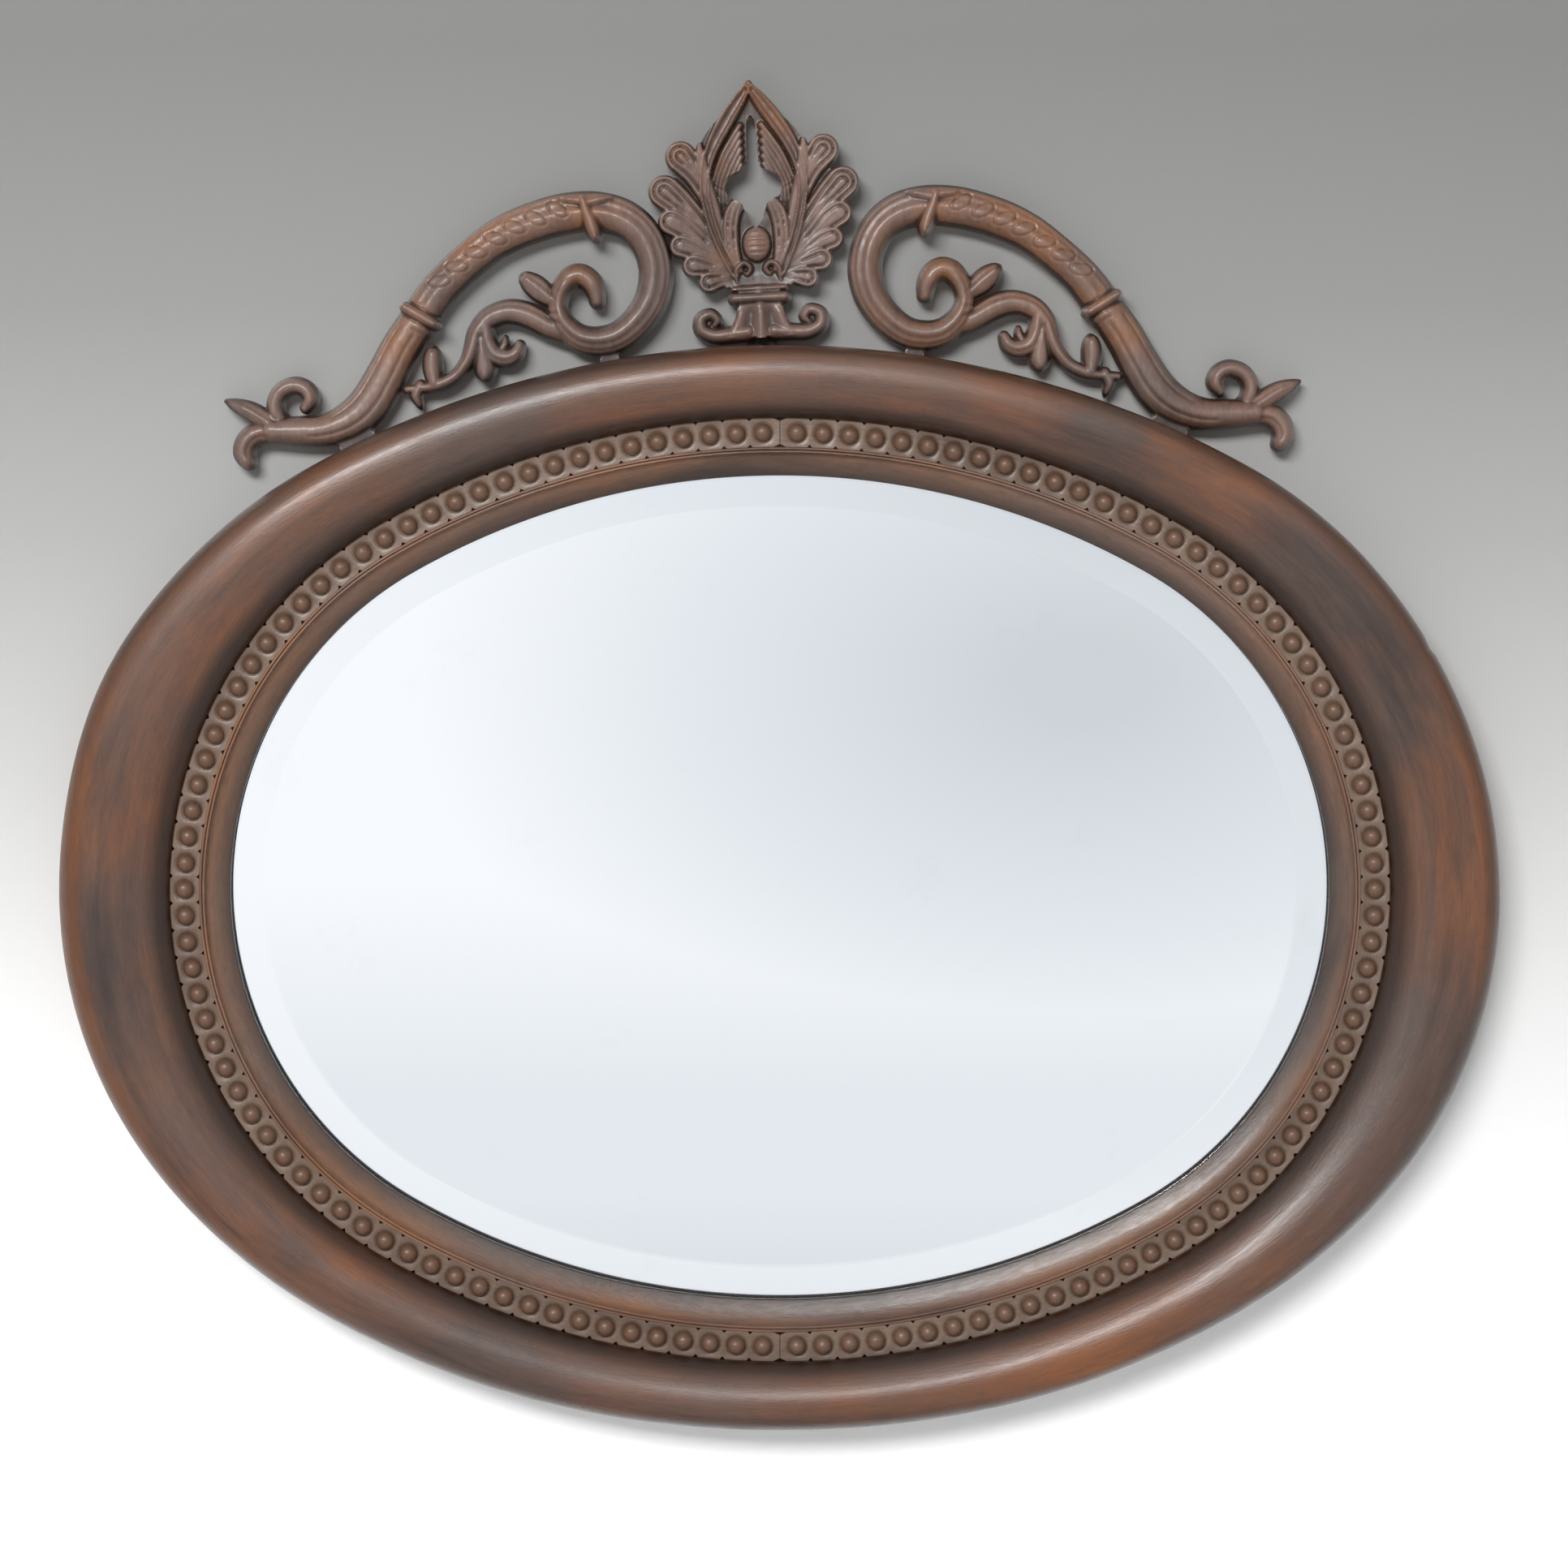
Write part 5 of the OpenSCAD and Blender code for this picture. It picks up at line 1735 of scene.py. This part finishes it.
@dataclass
class Palmette(Crest):
    """The pierced palmette between the scrolls.

    The contour and the routes are those of the right half, with the lobes from the top down. The heart is the
    height that the contour is drawn about.
    """

    pitch: float = 0.5
    rib_h: float = 14.3
    ground_h: float = 7.0
    heart: float = 90.0
    contour: tuple[tuple[float, float], ...] = (
        (0, 157.5), (3.5, 152), (8, 147), (13.5, 141), (21, 133.5), (27, 126.5), (32, 118.5), (38, 112), (45, 104),
        (49, 94), (49, 76), (44, 60), (36, 48), (27, 39), (12, 34), (0, 34),
    )
    lobes: tuple[Route, ...] = (
        ((15, 52, 3.5), (23.5, 80, 7), (28.5, 100, 8), (30.5, 113, 7), (30.8, 120, 3)),
        ((15, 50, 3.5), (24, 80, 9), (33, 102, 14), (42, 114, 18.5)),
        ((15, 48, 3.5), (29, 70, 11), (43, 85, 17), (52.5, 94, 19.5)),
        ((14.5, 46, 3.5), (31, 62, 10), (42.5, 71.5, 14.5), (49.5, 76, 15.5)),
        ((14, 44.5, 3.5), (29, 54, 9), (38, 59, 13), (44.5, 61.5, 14)),
        ((13.5, 43, 3.5), (26, 47, 9), (32, 48.5, 12), (37.5, 49.5, 14)),
        ((11, 40, 4), (18, 41, 8), (24, 40.5, 11), (29, 39.5, 13)),
    )
    main_rib: Route = (
        (13.5, 43, 5), (16, 48, 5), (22, 62, 6), (26.5, 77, 6.5), (29, 93, 7), (27.5, 107, 8), (22.5, 120, 9.5),
        (14.5, 133.5, 10.5), (7, 144.5, 9), (2, 151.5, 6), (0, 156, 3.6),
    )
    inner_leaf: Route = ((11, 46, 5), (14.5, 58, 8.5), (15, 70, 9.5), (13.5, 78.5, 9.5), (10.5, 84, 8))
    volute: Route = (
        (8, 9, 12), (18, 8, 11), (28, 7.8, 10.5), (35, 11.5, 10), (35.2, 18, 9), (29.5, 20.5, 8), (25.8, 16.8, 7),
        (28.5, 13.5, 5.5), (30.5, 15.5, 4),
    )
    small_volute: Route = (
        (13, 38, 3), (12.5, 46, 4.5), (8, 49.5, 4.5), (4.5, 46.5, 4), (6.5, 43, 3.5), (8.5, 45, 2.5),
    )
    warm_places: tuple[tuple[float, float, float], ...] = (
        (13, 138, 10), (20, 128, 9), (2, 60, 9), (-20, 52, 10), (0, 150, 7), (-43, 117, 8),
    )

    def carve(self) -> Relief:
        """Carves both halves of the palmette.

        Returns:
            The relief, ready for a mesh.
        """
        work = Relief((-66, 1), (66, 161), self.pitch)
        for side in (-1, 1):
            self.ground(work, side)
        self.foot(work)
        for side in (-1, 1):
            self.leaves(work, side)
        self.middle(work)
        self.open(work)
        work.warm(self.warm_places, 0.9)
        work.settle(5)
        return work

    @staticmethod
    def mirrored(route: Route, side: int) -> Route:
        """A route on the chosen side."""
        return [(x * side, y, w) for x, y, w in route]

    def ground(self, work: Relief, side: int) -> None:
        """Lays the leaf's ground within its contour.

        Args:
            work: Relief to carve.
            side: -1 for the left half, 1 for the right.
        """
        x, y = smooth_route([(x, y, 1) for x, y in self.contour], 1.0)[:, :2].T
        angle = np.arctan2(x * side, y - self.heart)
        order = np.argsort(angle)
        up = work.y - self.heart
        limit = np.interp(np.arctan2(work.x, up), angle[order], np.hypot(x, y - self.heart)[order])
        inside = (limit - np.hypot(work.x, up)) * 0.85
        on_side = work.x * side >= -work.pitch
        dish = self.ground_h + 2.2 * bell(inside, 0, 6)
        work.lay(np.where(on_side, inside, work.outside), np.where(on_side, dish, 0))

    def leaves(self, work: Relief, side: int) -> None:
        """Carves the lobes, the strands and the ribs of one side.

        Args:
            work: Relief to carve.
            side: -1 for the left half, 1 for the right.
        """
        for number, route in enumerate(self.lobes):
            path = self.mirrored(route, side)
            work.shell(path, self.rib_h - 2.4 - 0.4 * number, 3.5, 3.2, curl=2.0)
        for k in range(6):
            strand = [
                (19.0 - 0.9 * k, 60 + 1.5 * k, 2.2), (23.5 - 1.9 * k, 80, 2.8), (24.0 - 2.0 * k, 97 - 1.0 * k, 3.2),
                (18.0 - 1.4 * k, 113 - 3.0 * k, 4.2), (11.5 - 0.5 * k, 123.5 - 4.2 * k, 5.0),
                (6.6, 130.5 - 4.6 * k, 5.2),
            ]
            work.stroke(self.mirrored(strand, side), Cut.ROUND, 12.0 - 0.3 * k, slope=2.4)
        work.shell(self.mirrored(self.inner_leaf, side), 12.4, 3.1, 2.6, curl=1.2)
        work.stroke(self.mirrored(self.small_volute, side), Cut.ROUND, 13.2, slope=2.4)
        work.stroke(self.mirrored(self.main_rib, side), Cut.SPOON, self.rib_h, slope=1.9)

    def middle(self, work: Relief) -> None:
        """Carves the berry and the collar.

        Args:
            work: Relief to carve.
        """
        r = np.hypot(work.x / 8.2, (work.y - 60.5) / 10.2)
        berry = 9.5 + 5.2 * np.sqrt(np.clip(1 - r**2, 0, 1)) + 0.4 * np.sin(work.y * 2 * math.pi / 3.3) * (r < 0.8)
        work.lay(np.where(r < 1, 1.0, work.outside), berry)
        work.stroke([(-14.5, 28.8, 8.5), (14.5, 28.8, 8.5)], Cut.ROUND, 14.0, slope=2.0)
        work.stroke([(-15.5, 34.2, 3.2), (15.5, 34.2, 3.2)], Cut.ROUND, 12.2, slope=4.0)

    def foot(self, work: Relief) -> None:
        """Carves the fluted foot and its two volutes.

        Args:
            work: Relief to carve.
        """
        low, top = 5, 36
        half = np.interp(work.y, [low, 8, 12, 17, 24, top], [23, 20.5, 17.5, 15, 13, 12.5])
        inside = np.minimum(half - np.abs(work.x), np.minimum(work.y - low, top - work.y))
        flute = 1.2 * np.cos(work.x / np.maximum(half, 1) * math.pi * 2.5) * np.clip((24 - work.y) / 4, 0, 1)
        work.lay(inside, 10.6 + flute + 1.3 * bell(work.x, 0, 3.0))
        for side in (-1, 1):
            work.stroke(self.mirrored(self.volute, side), Cut.ROUND, 12.0, slope=1.2)

    def open(self, work: Relief) -> None:
        """Pierces the opening and the slot.

        Args:
            work: Relief to carve.
        """
        x, y = work.x, work.y
        rim = np.interp(
            y, [70, 72.5, 76, 80, 84, 86.5, 89, 93, 97, 100, 102.5, 105, 107],
            [0.5, 2.0, 4.6, 5.8, 7.2, 11.0, 15.2, 16.8, 16.8, 15.2, 12.0, 6.5, 4.5],
        )
        inside = np.minimum(rim - np.abs(x), np.minimum(y - 69.5, 110 - y))
        work.pierce(inside * 0.8)
        slot = np.minimum(np.interp(y, [104, 110, 128, 134, 137], [4.4, 3.4, 2.9, 2.4, 0.4]) - np.abs(x), 137 - y)
        work.pierce(np.where(y > 104, slot, -9.0))


@dataclass
class Back:
    """The board, its turn buttons, the hangers, the plates, the screws and the bumpers."""

    finishes: tuple[tuple[Finish, tuple[str, ...]], ...] = (
        (PLY, ("backing_board",)),
        (CARD, ("liner_sheet",)),
        (BRASS, tuple(f"turn_button_{i}" for i in range(1, 9))),
        (ZINC, ("hanger_strap_left", "hanger_strap_right", "hanger_ring_left", "hanger_ring_right")),
        (ZINC, ("button_screws", "hanger_screws", "crest_screws")),
        (BLACK_STEEL, ("palmette_plate", "scroll_plates")),
        (FELT, ("wall_bumpers",)),
    )

    def place(self) -> None:
        """Gives each CAD node of the back its finish."""
        for finish, nodes in self.finishes:
            material = finish.material()
            for node in nodes:
                Shop.dress(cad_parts[node], material)
                LOG.info("%s: dressed in %s", node, finish.name)


@dataclass
class Studio:
    """Wall, floor, room, lamps and camera.

    The reflected tones run from the middle of the room's shade outward, the greys up the wall, and a lamp is given
    by its name, place, width and height, and power.
    """

    camera_at: Place = (0.0024, -1.79, 0.218)
    lens: float = 69.0
    drop: float = -0.1702
    floor_z: float = -0.95
    reflected: tuple[tuple[float, Colour], ...] = (
        (0.1, (208, 212, 217)), (0.6, (229, 233, 238)), (1.0, (249, 252, 255)),
    )
    grey: tuple[tuple[float, Colour], ...] = (
        (0.0, (255, 255, 255)), (0.18, (251, 251, 251)), (0.34, (231, 231, 230)), (0.5, (201, 201, 199)),
        (0.66, (173, 173, 171)), (0.82, (149, 149, 147)), (1.0, (133, 133, 131)),
    )
    lamps: tuple[tuple[str, Place, tuple[float, float], float], ...] = (
        ("key", (-1.0, -3.5, 1.75), (1.9, 0.9), 138), ("back_key", (-1.4, 2.0, 1.4), (1.4, 1.4), 26),
        ("back_fill", (1.6, 2.0, 0.3), (1.4, 1.4), 16),
    )

    @staticmethod
    def sheet(name: str, size: float, turn_x: float, at: Place, shade: Shade, unseen: Sequence[str]) -> None:
        """Adds a plane with its turn and place applied to its mesh.

        Args:
            name: Name of the plane.
            size: Length of its sides.
            turn_x: Turn about X in degrees.
            at: Its middle.
            shade: Lays out its paint.
            unseen: Kinds of rays that don't meet it.
        """
        Shop.clear()
        bpy.ops.mesh.primitive_plane_add(size=size, location=at, rotation=(math.radians(turn_x), 0, 0))
        plane = Shop.named(name)
        bpy.ops.object.transform_apply(location=True, rotation=True, scale=True)
        for rays in unseen:
            setattr(plane, f"visible_{rays}", False)
        Shop.dress(plane, mixed(shade.__name__, shade))

    def wall_paint(self, tree: Tree, place: Socket) -> bpy.types.Node:
        """Grades the wall by height, and leaves it clear when seen from behind.

        Args:
            tree: Tree to lay out in.
            place: The object's coordinates.

        Returns:
            The shader.
        """
        height = tree.add("SeparateXYZ", Vector=place).outputs["Z"]
        paint = tree.add("BsdfDiffuse", Color=tree.ramp(tree.span(height, -0.36, 0.5), self.grey)).outputs[0]
        behind = tree.add("NewGeometry").outputs["Backfacing"]
        return tree.add("MixShader", Fac=behind, i1=paint, i2=tree.add("BsdfTransparent").outputs[0])

    def floor_paint(self, tree: Tree, place: Socket) -> bpy.types.Node:
        """Clouds the pale floor a little."""
        colour = tree.mix(tree.noise(place, 2.0), linear((236, 236, 235)), linear((242, 242, 241)))
        return tree.add("BsdfDiffuse", Color=colour)

    def room_paint(self, tree: Tree, place: Socket) -> bpy.types.Node:
        """Paints, in grades, the reflection that the glass shows, on a glowing card seen only in reflections.

        Args:
            tree: Tree to lay out in.
            place: The object's coordinates.

        Returns:
            The shader.
        """
        spot = tree.stretched(place, (0.87, 0.0, 1.33), (-0.45, 0.0, 0.08))
        shade = tree.add("TexGradient", {"gradient_type": "SPHERICAL"}, Vector=spot).outputs["Fac"]
        height = tree.add("SeparateXYZ", Vector=place).outputs["Z"]
        low = tree.maths("ADD", tree.span(height, -0.41, -0.77, 0.0, 0.38), tree.span(height, -0.95, -1.08, 0.0, 0.2))
        level = tree.maths("SUBTRACT", 1.0, tree.maths("MAXIMUM", shade, low))
        return tree.add("Emission", Color=tree.ramp(level, self.reflected))

    @staticmethod
    def lamp(name: str, at: Place, size: tuple[float, float], watts: float) -> None:
        """Adds a soft lamp that faces the mirror.

        Args:
            name: Name of the lamp.
            at: Its place.
            size: Its width and height.
            watts: Its power.
        """
        data = bpy.data.lights.new(name, "AREA")
        data.shape = "RECTANGLE"
        data.size, data.size_y = size
        data.energy = watts
        lamp = bpy.data.objects.new(name, data)
        bpy.context.scene.collection.objects.link(lamp)
        lamp.location = at
        lamp.rotation_euler = (-lamp.location.normalized()).to_track_quat("-Z", "Y").to_euler()

    def world(self) -> None:
        """The pale surroundings."""
        world = bpy.data.worlds.new("surroundings")
        bpy.context.scene.world = world
        world.use_nodes = True
        tree = Tree(world.node_tree)
        light = tree.add("Background", Color=linear((250, 251, 255)), Strength=0.3)
        seen = tree.add("Background", Color=linear((206, 208, 210)), Strength=1.0)
        path = tree.add("LightPath").outputs
        direct = tree.maths("MAXIMUM", path["Is Camera Ray"], path["Is Glossy Ray"])
        direct = tree.maths("MAXIMUM", direct, path["Is Transmission Ray"])
        both = tree.add("MixShader", Fac=direct, i1=light.outputs[0], i2=seen.outputs[0])
        tree.add("OutputWorld", Surface=both.outputs[0])

    def camera(self) -> None:
        """Sets a level camera a little above the middle, with its view dropped."""
        data = bpy.data.cameras.new("camera")
        data.sensor_width = 36.0
        data.lens = self.lens
        data.shift_y = self.drop
        camera = bpy.data.objects.new("camera", data)
        bpy.context.scene.collection.objects.link(camera)
        camera.location = self.camera_at
        camera.rotation_euler = (math.pi / 2, 0, 0)
        bpy.context.scene.camera = camera

    def place(self) -> None:
        """Sets up the whole studio."""
        bpy.context.scene.view_settings.view_transform = "Standard"
        self.camera()
        self.world()
        self.sheet("wall", 8.0, 90, (0, 0.0006, 0), self.wall_paint, ("shadow",))
        self.sheet("floor", 14.0, 0, (0, 0, self.floor_z), self.floor_paint, ("glossy", "transmission"))
        # The room card is no lamp: it glows only to paint the reflection in the glass.
        self.sheet("room_card", 9.0, -90, (0, -3.4, 0), self.room_paint, ("camera", "diffuse", "shadow"))
        for lamp in self.lamps:
            self.lamp(*lamp)


def build_crest() -> None:
    """Carves, dresses and fits the crest's three pieces."""
    scroll, palmette = Scroll(), Palmette()
    relief = scroll.carve()
    scroll.fit(relief, "scroll_carving_right", "crest_scroll_right", side=1)
    scroll.fit(relief, "scroll_carving_left", "crest_scroll_left", side=-1)
    palmette.fit(palmette.carve(), "palmette_carving", "crest_palmette", lean=palmette.lean)


def main() -> None:
    """Builds the mirror piece by piece."""
    logging.basicConfig(level=logging.INFO, format="%(message)s")
    Studio().place()
    FrameRing().place()
    SightSlip().place()
    for side in (1, -1):
        BeadRun(side).place()
    MirrorGlass().place()
    build_crest()
    Back().place()
    Shop.clear()


if __name__ == "__main__":
    main()
